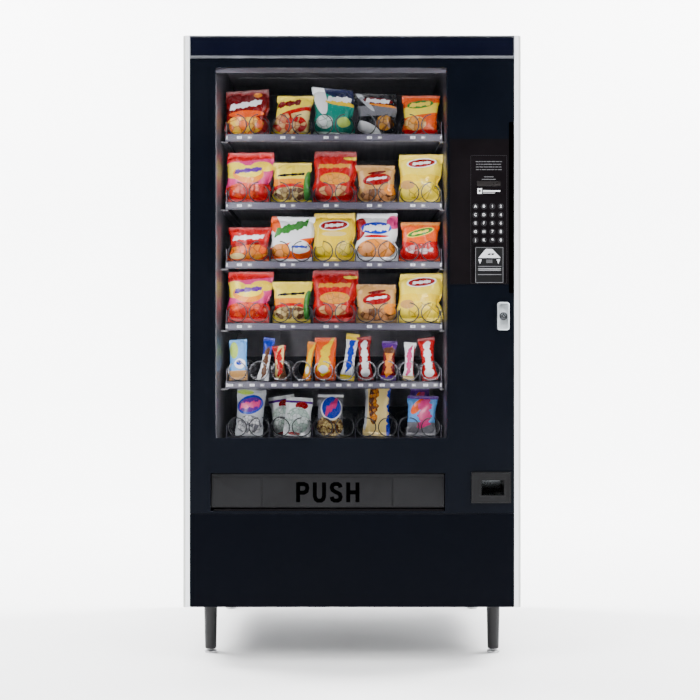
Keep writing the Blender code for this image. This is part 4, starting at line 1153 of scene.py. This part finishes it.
def door_inside():
    """What the open door shows: coin mechanism, validator, main board, harness and seal."""
    back = DOOR_HIGH.y
    ring = rectangle(-0.4440, 0.4300, 0.2990, 1.7960, 0.012)
    inner = rectangle(-0.4360, 0.4380, 0.2912, 1.7880, 0.008)
    plate("door_seal", ring, back - 0.0002, back + 0.0022, SEAL_RUBBER, "door", 0.0008, hole=inner)
    coin = [
        ((0.318, back - 0.070, 0.640), (0.452, back + 0.012, 0.960)),
        ((0.326, back + 0.010, 0.660), (0.444, back + 0.022, 0.800)),
        ((0.326, back + 0.010, 0.815), (0.372, back + 0.030, 0.945)),
        ((0.380, back + 0.010, 0.830), (0.440, back + 0.016, 0.930)),
    ]
    blocks("coin_mechanism", coin, PLASTIC_BLACK, "door", 0.003)
    blocks("coin_mechanism_labels", [((0.390, back + 0.0155, 0.850), (0.430, back + 0.0166, 0.880))],
           CARD_WHITE, "door", 0.0003)
    fronts = [((0.334 + 0.021 * n, back + 0.0215, 0.668), (0.348 + 0.021 * n, back + 0.026, 0.792))
              for n in range(5)]
    blocks("coin_tube_fronts", fronts, BRIGHT_STEEL, "door", 0.003)
    validator = [
        ((0.350, BILL_HIGH.y + 0.0005, 1.098), (0.448, back + 0.020, 1.214)),
        ((0.358, back + 0.018, 1.110), (0.440, back + 0.040, 1.190)),
    ]
    blocks("bill_validator", validator, PANEL_BLACK, "door", 0.003)
    blocks("control_board", [((0.345, back - 0.072, 1.232), (0.455, back - 0.062, 1.500))], INK_GREY, "door",
           0.001)
    chips = []
    rng = random.Random(7)
    for row in range(6):
        for column in range(3):
            x, z = 0.356 + 0.033 * column, 1.246 + 0.042 * row
            wide, tall = 0.010 + 0.012 * rng.random(), 0.010 + 0.016 * rng.random()
            chips.append(((x, back - 0.0625, z), (x + wide, back - 0.057, z + tall)))
    blocks("control_board_parts", chips, INK_BLACK, "door", 0.0006)
    chute_low = (COIN_LOW.x + 0.022, COIN_HIGH.y + 0.002, COIN_HIGH.z + 0.004)
    chute_high = (COIN_HIGH.x - 0.022, back - 0.012, 0.636)
    blocks("coin_chute", [(chute_low, chute_high)], FOOT_STEEL, "door", 0.002)
    harness = [(0.400, back - 0.050, 1.232), (0.386, back - 0.046, 1.225), (0.330, back - 0.040, 1.150),
               (0.326, back - 0.036, 1.060), (0.340, back - 0.034, 0.990), (0.372, back - 0.036, 0.962)]
    tube("wiring_harness", smooth_path(harness, 8), 0.0035, SEAL_RUBBER, "door")


def smooth_path(points, steps):
    """Catmull-Rom points through a list of points."""
    knots = [Vector(points[0])] + [Vector(p) for p in points] + [Vector(points[-1])]
    path = []
    for a, b, c, d in zip(knots, knots[1:], knots[2:], knots[3:]):
        for step in range(steps):
            t = step / steps
            square, cube = 2 * a - 5 * b + 4 * c - d, 3 * b - a - 3 * c + d
            path.append(0.5 * (2 * b + (c - a) * t + square * t**2 + cube * t**3))
    path.append(knots[-1])
    return path


# --- Control panel ----------------------------------------------------------------------
LOCK_X, LOCK_Z = (HANDLE_LOW.x + HANDLE_HIGH.x) / 2, (HANDLE_LOW.z + HANDLE_HIGH.z) / 2
OVERLAY = (0.3454, 1.1030, 0.4510, 1.4757)
KEY_MARKS = "AB12CD34EF56GH78JK90"


def ring_plate(name, low_x, low_z, high_x, high_z, line, material, body, corner=0.003, proud=0.0004):
    outline = rectangle(low_x, low_z, high_x, high_z, corner)
    hole = rectangle(low_x + line, low_z + line, high_x - line, high_z - line, max(0.0004, corner - line))
    return plate(name, outline, FRONT - 0.00002, FRONT - proud, material, body, hole=hole)


def control_details():
    ring_plate("overlay_outline", *OVERLAY, 0.0009, INK_FAINT, "door")
    left, right = OVERLAY[0] + 0.012, OVERLAY[2] - 0.012
    middle = (left + right) / 2
    rng = random.Random(4)
    lines = []
    for row in range(4):
        z = 1.4575 - row * 0.0078
        x = left + 0.002 + 0.004 * rng.random()
        end = right - 0.002 - 0.006 * rng.random()
        while x < end:
            long = min(0.004 + 0.009 * rng.random(), end - x)
            lines.append(((x, FRONT - 0.0005, z - 0.0008), (x + long, FRONT, z + 0.0008)))
            x += long + 0.0016
    blocks("instruction_lines", lines, INK_GREY, "door", 0.0002, 1)
    lines = [
        ((middle - 0.014, FRONT - 0.0005, 1.4125), (middle + 0.014, FRONT, 1.4140)),
        ((middle - 0.020, FRONT - 0.0005, 1.4050), (middle + 0.020, FRONT, 1.4065)),
    ]
    blocks("display_caption", lines, INK_GREY, "door", 0.0002, 1)
    display = rectangle(middle - 0.034, 1.3860, middle + 0.034, 1.4005, 0.0015)
    plate("display_lens", display, FRONT - 0.00002, FRONT - 0.0008, OVERLAY_BLACK, "door", 0.0003)
    mark = [
        ((middle - 0.0330, FRONT - 0.0006, 1.3640), (middle - 0.0200, FRONT, 1.3800)),
        ((middle - 0.0170, FRONT - 0.0006, 1.3700), (middle + 0.0330, FRONT, 1.3740)),
        ((middle - 0.0170, FRONT - 0.0006, 1.3655), (middle + 0.0180, FRONT, 1.3668)),
    ]
    blocks("panel_mark", mark, INK_WHITE, "door", 0.0003, 1)
    plate("panel_mark_notch", circle(middle - 0.0265, 1.3720, 0.0035, 24), FRONT - 0.0005, FRONT - 0.0008,
          INK_BLACK, "door")
    # Painted shade: a flat black sheet with no gloss, beside the control panel's right edge, stands for the
    # shade in that recess.
    edge = PLATE_HIGH.x + 0.0008
    plate("panel_side_recess_shade", rectangle(edge, 1.0751, 0.4697, 1.5724, 0.002), FRONT + 0.0004, FRONT - 0.0004,
          PURE_BLACK, "door", 0.0002)


def keys():
    """Soft round keys with a rolled edge, a dished top and a printed character."""
    profile = [
        (0.0000, 0.0000), (0.0094, 0.0000), (0.0094, 0.0014), (0.0080, 0.0016), (0.0080, 0.0046), (0.0078,
                0.0051),
        (0.0073, 0.0055), (0.0067, 0.0056), (0.0060, 0.0054), (0.0040, 0.00515), (0.0000, 0.0050),
    ]
    for number, mark in enumerate(KEY_MARKS, 1):
        body = f"key_{number:02d}"
        low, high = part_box(body)
        at = ((low.x + high.x) / 2, high.y, (low.z + high.z) / 2)
        cap = turned(f"key_cap_{number:02d}", profile, at, KEY_GREY, body, forward=True, steps=40)
        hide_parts(body)
        ring = plate(f"key_ring_{number:02d}", circle(at[0], at[2], 0.0088, 32), FRONT - 0.00002,
                     FRONT - 0.0003,
                     INK_FAINT, "door", hole=circle(at[0], at[2], 0.0084, 32))
        lettering(f"key_mark_{number:02d}", mark, (at[0], low.y + 0.0005, at[2]), 0.0078, INK_WHITE, body,
                  weight=0.00012)


def bill_details():
    """The printed guide, the slot with its light painted on as two white strips, and the arrows of the bill
    acceptor.
    """
    face = BILL_LOW.y
    middle = (BILL_LOW.x + BILL_HIGH.x) / 2
    card = [(0.3671, 1.1767), (0.4322, 1.1767), (0.4075, 1.2029), (0.3888, 1.2029)]
    plate("bill_guide_card", card, face, face - 0.0005, CARD_WHITE, "door", 0.0001)
    icon = [(middle - 0.006, 1.1850), (middle + 0.012, 1.1850), (middle + 0.016, 1.1900),
            (middle - 0.002, 1.1900)]
    plate("bill_guide_icon", icon, face - 0.0004, face - 0.0008, INK_BLACK, "door")
    plate("bill_guide_note", circle(middle + 0.0050, 1.1875, 0.0017, 28), face - 0.0007, face - 0.0011,
          CARD_WHITE, "door")
    outline = rectangle(BILL_LOW.x + 0.0006, BILL_LOW.z + 0.0006, BILL_HIGH.x - 0.0006, BILL_HIGH.z - 0.0006,
                        0.002)
    inner = rectangle(BILL_LOW.x + 0.0018, BILL_LOW.z + 0.0018, BILL_HIGH.x - 0.0018, BILL_HIGH.z - 0.0018,
                      0.001)
    plate("bill_bezel_outline", outline, face, face - 0.0005, INK_GREY, "door", hole=inner)
    for number, x in enumerate((0.3720, 0.4253)):
        arrow = [(x, 1.1589), (x + 0.0026, 1.1665), (x + 0.0046, 1.1700), (x + 0.0046, 1.1728),
                 (x - 0.0046, 1.1728), (x - 0.0046, 1.1700), (x - 0.0026, 1.1665)]
        plate(f"bill_arrow_{number + 1}", arrow, face, face - 0.0005, CARD_WHITE, "door", 0.0001)
    line = 0.0016
    notes = [((middle - 0.0090, face - 0.0005, z), (middle + 0.0090, face, z + line))
             for z in (1.1625, 1.1660, 1.1695)]
    notes += [((0.3660, face - 0.0005, z), (0.4342, face, z + line)) for z in (1.1513, 1.1276)]
    blocks("bill_lines", notes, INK_GREY, "door", 0.0002, 1)
    # Painted light: two white strips inside the slot, with no emission, stand for the slot's light.
    slot_y = face + 0.004
    lips = [
        ((0.3668, slot_y, 1.1440), (0.4334, slot_y + 0.010, 1.1469)),
        ((0.3668, slot_y, 1.1394), (0.4334, slot_y + 0.010, 1.1420)),
    ]
    blocks("bill_slot_painted_light", lips, CARD_WHITE, "door", 0.0008)


# --- Lock and coin return ----------------------------------------------------------------
def handle():
    """A pressed pull plate with a rolled rim round a shallow pan, and its lock barrel."""
    back, face = HANDLE_HIGH.y, HANDLE_LOW.y
    low_x, high_x, low_z, high_z = HANDLE_LOW.x, HANDLE_HIGH.x, HANDLE_LOW.z, HANDLE_HIGH.z
    bore = circle(LOCK_X, LOCK_Z, 0.0097)
    outline = rectangle(low_x, low_z, high_x, high_z, 0.008, 10)
    base = plate("handle_plate", outline, back, face + 0.0022, HANDLE_STEEL, "t_handle", 0.0022, hole=bore)
    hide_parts("t_handle")
    inset = 0.0042
    inner = rectangle(low_x + inset, low_z + inset, high_x - inset, high_z - inset, 0.0052, 10)
    ridge = rectangle(low_x + 0.0018, low_z + 0.0018, high_x - 0.0018, high_z - 0.0018, 0.0068, 10)
    plate("handle_rim", ridge, face + 0.0024, face + 0.0002, HANDLE_STEEL, "t_handle", 0.0009, hole=inner)
    collar = [(0.0098, 0.0), (0.0116, 0.0), (0.0114, 0.0012), (0.0108, 0.0018), (0.0098, 0.0018)]
    turned("handle_collar", collar, (LOCK_X, face + 0.0024, LOCK_Z), DARK_WIRE, "t_handle", forward=True)
    low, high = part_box("lock_cylinder")
    deep = high.y - low.y
    barrel = [(0.0, 0.0), (0.0090, 0.0), (0.0090, deep - 0.0008), (0.0083, deep - 0.0001),
              (0.0066, deep - 0.0001),
              (0.0062, deep - 0.0012), (0.0, deep - 0.0012)]
    made = turned("lock_barrel", barrel, (LOCK_X, high.y, LOCK_Z), BRIGHT_STEEL, "lock_cylinder",
                  forward=True)
    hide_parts("lock_cylinder")
    face = low.y
    plate("lock_keyway_ring", circle(LOCK_X, LOCK_Z, 0.0048), face + 0.0014, face + 0.0004, DARK_WIRE,
          "lock_cylinder",
          0.0003, hole=circle(LOCK_X, LOCK_Z, 0.0030))
    plate("lock_keyway_pin", circle(LOCK_X, LOCK_Z, 0.0015, 24), face + 0.0014, face + 0.0002, BRIGHT_STEEL,
          "lock_cylinder", 0.0003)
    # Painted shade: a small black plate in the barrel's face stands for the dark slot of the keyway.
    plate("lock_keyway_slot_shade", rectangle(LOCK_X - 0.0009, LOCK_Z + 0.0040, LOCK_X + 0.0009, LOCK_Z + 0.0060),
          face + 0.0014,
          face + 0.0003, INK_BLACK, "lock_cylinder")


def coin_scoop():
    """The curved bright tray inside the coin return, and the bezel's rolled lip."""
    low_x, high_x, low_z, high_z = 0.3768, 0.4423, 0.4866, 0.5296
    front, back = COIN_LOW.y + 0.003, COIN_LOW.y + 0.048
    mesh = bmesh.new()
    rows = []
    steps = 18
    for i in range(steps + 1):
        turn = math.pi / 2 * i / steps
        y = front + (back - front) * math.sin(turn)
        z = low_z + (high_z - low_z) * (1 - math.cos(turn))
        rows.append([mesh.verts.new((x, y, z)) for x in (low_x, high_x)])
    for a, b in zip(rows, rows[1:]):
        mesh.faces.new((a[0], a[1], b[1], b[0]))
    bmesh.ops.solidify(mesh, geom=list(mesh.faces), thickness=-0.0008)
    shown("coin_scoop", mesh_data("coin_scoop", mesh), BRIGHT_STEEL, "door", 40)
    ridge = rectangle(0.3722, 0.4822, 0.4469, 0.5342, 0.003)
    hole = rectangle(0.3764, 0.4864, 0.4427, 0.5300, 0.002)
    plate("coin_bezel_lip", ridge, COIN_LOW.y, COIN_LOW.y - 0.0016, PLASTIC_BLACK, "door", 0.0006, hole=hole)
    outer = rectangle(COIN_LOW.x + 0.0015, COIN_LOW.z + 0.0015, COIN_HIGH.x - 0.0015, COIN_HIGH.z - 0.0015,
                      0.004)
    inner = rectangle(COIN_LOW.x + 0.0045, COIN_LOW.z + 0.0045, COIN_HIGH.x - 0.0045, COIN_HIGH.z - 0.0045,
                      0.003)
    plate("coin_bezel_step", outer, COIN_LOW.y, COIN_LOW.y - 0.0010, PLASTIC_BLACK, "door", 0.0005,
          hole=inner)


# --- Flap -------------------------------------------------------------------------------
FLAP_LEAN = math.radians(4)
FLAP_PIN = (FRONT + 0.013, 0.5455)
FLAP_THICK = 0.006


def on_flap(down, out):
    """The (y, z) of a point that far down the flap from its pin and out of its front face."""
    sine, cosine = math.sin(FLAP_LEAN), math.cos(FLAP_LEAN)
    out += FLAP_THICK / 2
    return FLAP_PIN[0] - out * cosine - down * sine, FLAP_PIN[1] - down * cosine + out * sine


def flap_details():
    """Raised pads between the flap's seams and the one generic word on it."""
    edges = (FLAP_LOW.x + 0.005, -0.2625, 0.1179, FLAP_HIGH.x - 0.005)
    for number, (left, right) in enumerate(zip(edges, edges[1:])):
        pad = plate(f"flap_pad_{number + 1}", rectangle(left + 0.0030, -0.0900, right - 0.0030, -0.0085,
                0.002), 0.0005,
                    -0.0006, CHARCOAL, "delivery_flap", 0.0004)
        pad.matrix_local = flap_matrix()
    word = block_word("flap_word", WORD_STROKES, (-0.1628, 0.0217), (0.4652, 0.5225))
    word.matrix_local = flap_matrix()


WORD_STROKES = (  # strokes of the word PUSH in a box one high and 0.58 wide, one list for each letter
    (((0.0, 0), (0.0, 1)), ((0.0, 0.92), (0.30, 0.92), (0.44, 0.86), (0.48, 0.72), (0.44, 0.56), (0.30, 0.48),
                            (0.0, 0.48))),
    (((0.0, 1), (0.0, 0.30), (0.05, 0.15), (0.15, 0.08), (0.33, 0.08), (0.43, 0.15), (0.48, 0.30), (0.48, 1)),
     ),
    (((0.47, 0.74), (0.43, 0.86), (0.33, 0.92), (0.15, 0.92), (0.05, 0.86), (0.01, 0.74), (0.05, 0.62),
      (0.16, 0.54),
      (0.32, 0.47), (0.43, 0.40), (0.47, 0.27), (0.43, 0.14), (0.32, 0.08), (0.15, 0.08), (0.05, 0.14), (0.01,
              0.27)),),
    (((0.0, 0), (0.0, 1)), ((0.48, 0), (0.48, 1)), ((0.0, 0.5), (0.48, 0.5))),
)


def block_word(name, letters, span_x, span_z):
    """Bold block capitals, as flat strokes that stand a little out of the flap's face."""
    mesh = bmesh.new()
    high = span_z[1] - span_z[0]
    weight = 0.100 * high
    pitch = (span_x[1] - span_x[0] - 0.48 * high * 0.98 - 2 * weight) / (len(letters) - 1)
    base = span_z[0] - FLAP_PIN[1]
    for index, strokes in enumerate(letters):
        left = span_x[0] + weight + index * pitch
        for stroke in strokes:
            points = [Vector((left + x * high * 0.98, 0, base + z * high)) for x, z in stroke]
            add_stroke(mesh, points, weight)
    return shown(name, mesh_data(name, mesh), PURE_BLACK, "delivery_flap")


def add_stroke(mesh, points, weight):
    """A flat ribbon of one width along a line of points, closed and 0.9 mm thick."""
    sides = []
    for index, point in enumerate(points):
        before = points[index] - points[index - 1] if index else points[1] - points[0]
        after = points[index + 1] - points[index] if index + 1 < len(points) else before
        along = before.normalized() + after.normalized()
        normal = Vector((-along.z, 0, along.x)).normalized()
        turn = max(0.6, normal.dot(Vector((-before.z, 0, before.x)).normalized()))
        sides.append((point + normal * weight / turn, point - normal * weight / turn))
    rings = []
    for left, right in sides:
        rings.append([mesh.verts.new(at + Vector((0, y, 0))) for at, y in ((left, 0), (right, 0),
                (right, -0.0009), (left, -0.0009))])
    for a, b in zip(rings, rings[1:]):
        for i in range(4):
            mesh.faces.new((a[i], a[(i + 1) % 4], b[(i + 1) % 4], b[i]))
    mesh.faces.new(rings[0])
    mesh.faces.new(reversed(rings[-1]))


def flap_matrix():
    """From the flap's own flat layout (face at y 0, pin line at z 0) to its place."""
    y, z = on_flap(0, 0)
    return Matrix.Translation((0, y, z)) @ Matrix.Rotation(-FLAP_LEAN, 4, "X")


# --- Legs, feet and rear ----------------------------------------------------------------
def legs():
    """Tapered legs with a rolled collar, and levelling feet with a hexagon above the pad."""
    for corner in ("front_left", "front_right", "rear_left", "rear_right"):
        low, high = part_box(f"leg_{corner}")
        x, y = (low.x + high.x) / 2, (low.y + high.y) / 2
        top, bottom = high.z, low.z
        profile = [
            (0.0, top), (0.0206, top), (0.0206, top - 0.004), (0.0198, top - 0.0052), (0.0203, top - 0.0064),
            (0.0203, top - 0.012), (0.0199, top - 0.014), (0.0172, bottom + 0.006), (0.0169, bottom + 0.002),
            (0.0160, bottom), (0.0070, bottom), (0.0070, bottom + 0.003), (0.0, bottom + 0.003),
        ]
        made = turned(f"leg_sleeve_{corner}", profile, (x, y, 0), PAINT_LEG, "cabinet")
        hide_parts(f"leg_{corner}")
        body = f"foot_{corner}"
        pad = [
            (0.0, 0.0), (0.0172, 0.0), (0.0184, 0.0008), (0.0190, 0.0022), (0.0190, 0.0052), (0.0182, 0.0066),
            (0.0150, 0.0078), (0.0112, 0.0084), (0.0, 0.0084),
        ]
        made = turned(f"foot_pad_{corner}", pad, (x, y, 0), FOOT_STEEL, body)
        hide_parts(body)
        nut = [(x + 0.0108 * math.cos(math.pi / 3 * i),
                y + 0.0108 * math.sin(math.pi / 3 * i)) for i in range(6)]
        prism(f"foot_nut_{corner}", nut, 0.0080, 0.0118, FOOT_STEEL, body)


def prism(name, outline, low, high, material, body):
    mesh = bmesh.new()
    face = mesh.faces.new([mesh.verts.new((x, y, low)) for x, y in outline])
    top = bmesh.ops.extrude_face_region(mesh, geom=[face])["geom"]
    bmesh.ops.translate(mesh, verts=[v for v in top if isinstance(v, bmesh.types.BMVert)],
                        vec=(0, 0, high - low))
    bmesh.ops.bevel(mesh, geom=list(mesh.edges), offset=0.0004, segments=1, affect="EDGES")
    return shown(name, mesh_data(name, mesh), material, body, 35)


def screw_heads(name, places, axis, material, body, radius=0.0042, proud=0.0014):
    """Low domed screw heads, facing along -Y, +Y, -X or +X."""
    mesh = bmesh.new()
    turn = {"-Y": ("X", 90), "+Y": ("X", -90), "-X": ("Y", -90), "+X": ("Y", 90)}[axis]
    facing = Matrix.Rotation(math.radians(turn[1]), 4, turn[0])
    profile = ((radius, 0.0), (radius, proud * 0.35), (radius * 0.8, proud * 0.8), (radius * 0.35, proud))
    for place in places:
        at = Matrix.Translation(place) @ facing
        rings = []
        for r, h in profile:
            ring = [mesh.verts.new(at @ Vector((r * math.cos(math.tau * i / 16),
                    r * math.sin(math.tau * i / 16), h)))
                    for i in range(16)]
            rings.append(ring)
        for a, b in zip(rings, rings[1:]):
            for i in range(16):
                mesh.faces.new((a[i], a[(i + 1) % 16], b[(i + 1) % 16], b[i]))
        mesh.faces.new(rings[-1])
        mesh.faces.new(reversed(rings[0]))
    return shown(name, mesh_data(name, mesh), material, body, 40)


def rear_and_sides():
    """Rear cover with louvres, hand screws and stiffening folds down the sides."""
    back = SHELL_HIGH.y
    spans = [((-0.430, back - 0.001, 0.330), (0.430, back + 0.0016, 1.760))]
    blocks("rear_cover", spans, PAINT_CABINET, "cabinet", 0.0008)
    louvres = []
    for bank in (-0.270, 0.030):
        for row in range(9):
            z = 0.400 + row * 0.018
            louvres.append(((bank, back + 0.0010, z), (bank + 0.220, back + 0.0042, z + 0.0075)))
    for row in range(6):
        z = 1.620 + row * 0.018
        louvres.append(((-0.110, back + 0.0010, z), (0.110, back + 0.0042, z + 0.0075)))
    blocks("rear_louvres", louvres, PAINT_CABINET, "cabinet", 0.0020, 3)
    # Painted shade: a thin black strip just under each louvre stands for the dark opening beneath it.
    slots = []
    for low, high in louvres:
        corner = (high[0] - 0.004, back + 0.0019, low[2] + 0.0004)
        slots.append(((low[0] + 0.004, back + 0.0014, low[2] - 0.0030), corner))
    blocks("rear_louvre_gap_shade", slots, INK_BLACK, "cabinet", 0.0001, 1)
    places = [(x, back + 0.0016, z) for x in (-0.418, 0.418) for z in (0.345, 0.700, 1.050, 1.400, 1.745)]
    places += [(x, back + 0.0016, z) for x in (-0.140, 0.140) for z in (0.345, 1.745)]
    screw_heads("rear_screws", places, "+Y", FOOT_STEEL, "cabinet")
    plate("rear_rating_plate", rectangle(0.180, 0.345, 0.260, 0.385, 0.003), back + 0.0016, back + 0.0024,
          FOOT_STEEL, "cabinet")
    inlet_low, inlet_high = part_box("power_inlet")
    middle_x, middle_z = (inlet_low.x + inlet_high.x) / 2, (inlet_low.z + inlet_high.z) / 2
    pins = []
    for dx, dz in ((-0.007, -0.002), (0.0, 0.003), (0.007, -0.002)):
        x, z = middle_x + dx, middle_z + dz
        deep, mouth = inlet_high.y - 0.016, inlet_high.y - 0.004
        pins.append(((x - 0.001, deep, z - 0.0030), (x + 0.001, mouth, z + 0.0030)))
    blocks("inlet_pins", pins, BRIGHT_STEEL, "cabinet", 0.0004, 1)
    places = [(x, inlet_high.y, middle_z) for x in (inlet_low.x + 0.005, inlet_high.x - 0.005)]
    screw_heads("inlet_screws", places, "+Y", FOOT_STEEL, "cabinet", 0.0026, 0.0006)
    for side, facing in ((-1, "-X"), (1, "+X")):
        x = side * SHELL_HIGH.x
        folds = []
        for y in (SHELL_LOW.y + 0.006, back - 0.030):
            a, b = sorted((x - side * 0.001, x + side * 0.0012))
            folds.append(((a, y, SHELL_LOW.z + 0.004), (b, y + 0.022, SHELL_HIGH.z - 0.004)))
        name = "left" if side < 0 else "right"
        blocks(f"side_folds_{name}", folds, PAINT_CABINET, "cabinet", 0.0008)
        places = [(x + side * 0.0012, y, z) for y in (back - 0.019,) for z in (0.30, 0.66, 1.02, 1.38, 1.74)]
        screw_heads(f"side_rivets_{name}", places, facing, PAINT_CABINET, "cabinet", 0.0034, 0.0010)
    rails = []
    for y in (SHELL_LOW.y + 0.020, back - 0.060):
        rails.append(((-0.470, y, SHELL_LOW.z - 0.0045), (0.470, y + 0.040, SHELL_LOW.z + 0.001)))
    blocks("base_rails", rails, PAINT_CABINET, "cabinet", 0.0012)
    mounts = []
    for corner in ("front_left", "front_right", "rear_left", "rear_right"):
        low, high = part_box(f"leg_{corner}")
        corner = (high.x + 0.008, high.y + 0.004, SHELL_LOW.z + 0.0005)
        mounts.append(((low.x - 0.008, low.y - 0.004, SHELL_LOW.z - 0.0030), corner))
    blocks("leg_mounts", mounts, FOOT_STEEL, "cabinet", 0.0010)


# --- Stage ------------------------------------------------------------------------------
def floor_material():
    finish = Finish("floor_pale", (0.90, 0.90, 0.90), 0.6)
    tone = finish.noise(finish.place(), 1.2, 4.0)
    patch = finish.span(tone, 0.3, 0.7, 0.0, 1.0)
    finish.set("Base Color", finish.mix(patch, (0.89, 0.89, 0.895), (0.92, 0.92, 0.92)))
    return finish.material


def stage():
    mesh = bmesh.new()
    reach, rise, bend = 16.0, 9.0, 2.0
    back = BACKDROP
    section = [(-reach, 0.0), (back - bend, 0.0)]
    for step in range(1, 13):
        angle = math.pi / 2 * step / 12
        section.append((back - bend + bend * math.sin(angle), bend - bend * math.cos(angle)))
    section.append((back, rise))
    rows = [[mesh.verts.new((x, y, z)) for x in (-reach, reach)] for y, z in section]
    for a, b in zip(rows, rows[1:]):
        mesh.faces.new((a[0], a[1], b[1], b[0]))
    data = mesh_data("floor_sweep", mesh)
    data.shade_smooth()
    data.materials.append(floor_material())
    floor = bpy.data.objects.new("floor_sweep", data)
    bpy.context.scene.collection.objects.link(floor)


def world():
    made = bpy.data.worlds.new("studio")
    bpy.context.scene.world = made
    made.use_nodes = True
    tree = made.node_tree
    background = tree.nodes["Background"]
    across = tree.nodes.new("ShaderNodeSeparateXYZ")
    tree.links.new(tree.nodes.new("ShaderNodeTexCoord").outputs["Generated"], across.inputs[0])
    ramp = tree.nodes.new("ShaderNodeMapRange")
    for socket, value in zip(("From Min", "From Max", "To Min", "To Max"), (-0.9, 0.2, 0.05, 1.7)):
        ramp.inputs[socket].default_value = value
    tree.links.new(across.outputs[1], ramp.inputs["Value"])
    background.inputs["Color"].default_value = (0.95, 0.97, 1.0, 1)
    tree.links.new(ramp.outputs[0], background.inputs["Strength"])


def soft_light(name, at, target, size, power):
    light = bpy.data.lights.new(name, "AREA")
    light.shape = "RECTANGLE"
    light.size, light.size_y = size
    light.energy = power
    lamp_object = bpy.data.objects.new(name, light)
    lamp_object.location = at
    lamp_object.rotation_euler = (Vector(target) - Vector(at)).to_track_quat("-Z", "Y").to_euler()
    bpy.context.scene.collection.objects.link(lamp_object)


def strip_light(name, x, low, high, power):
    """A narrow light that stands beside the window inside the door and lights the stock."""
    light = bpy.data.lights.new(name, "AREA")
    light.shape = "RECTANGLE"
    light.size, light.size_y = 0.018, high - low
    light.energy = power
    made = bpy.data.objects.new(name, light)
    made.location = (x, DOOR_LOW.y + 0.050, (low + high) / 2)
    made.rotation_euler = (math.radians(90), 0, math.radians(-28 if x < 0 else 28))
    bpy.context.scene.collection.objects.link(made)


def lights():
    soft_light("key_light", (-3.6, -3.2, 3.6), (0, 0, 1.0), (2.0, 2.0), 230)
    soft_light("fill_light", (3.8, -2.6, 2.2), (0, 0, 0.9), (2.2, 2.2), 150)
    soft_light("top_light", (0.0, -0.6, 4.6), (0, 0.2, 0.0), (3.4, 3.4), 300)
    for name, side in (("backdrop_left", -1), ("backdrop_right", 1)):
        soft_light(name, (4.5 * side, BACKDROP - 4.5, 5.6), (1.6 * side, BACKDROP, 1.6), (3.0, 3.0), 2300)
    low, high = GLASS_LOW.z + 0.03, GLASS_HIGH.z - 0.02
    strip_light("stock_light_left", -0.392, low, high, 3.8)
    strip_light("stock_light_right", 0.273, low, high, 3.0)


def camera():
    data = bpy.data.cameras.new("camera")
    data.sensor_width = SENSOR
    data.lens = SENSOR * CAMERA_DISTANCE / FIELD_WIDTH
    made = bpy.data.objects.new("camera", data)
    made.location = (CAMERA_X, FRONT - CAMERA_DISTANCE, CAMERA_HEIGHT)
    made.rotation_euler = (math.pi / 2, 0, 0)
    bpy.context.scene.collection.objects.link(made)
    bpy.context.scene.camera = made


# --- Build ------------------------------------------------------------------------------
dress_cad_nodes()
spirals()
stock()
price_strips()
tray_motors()
liner_sheets()
window_lining()
lamp()
door_inside()
control_details()
keys()
bill_details()
handle()
coin_scoop()
flap_details()
legs()
rear_and_sides()
stage()
world()
lights()
camera()
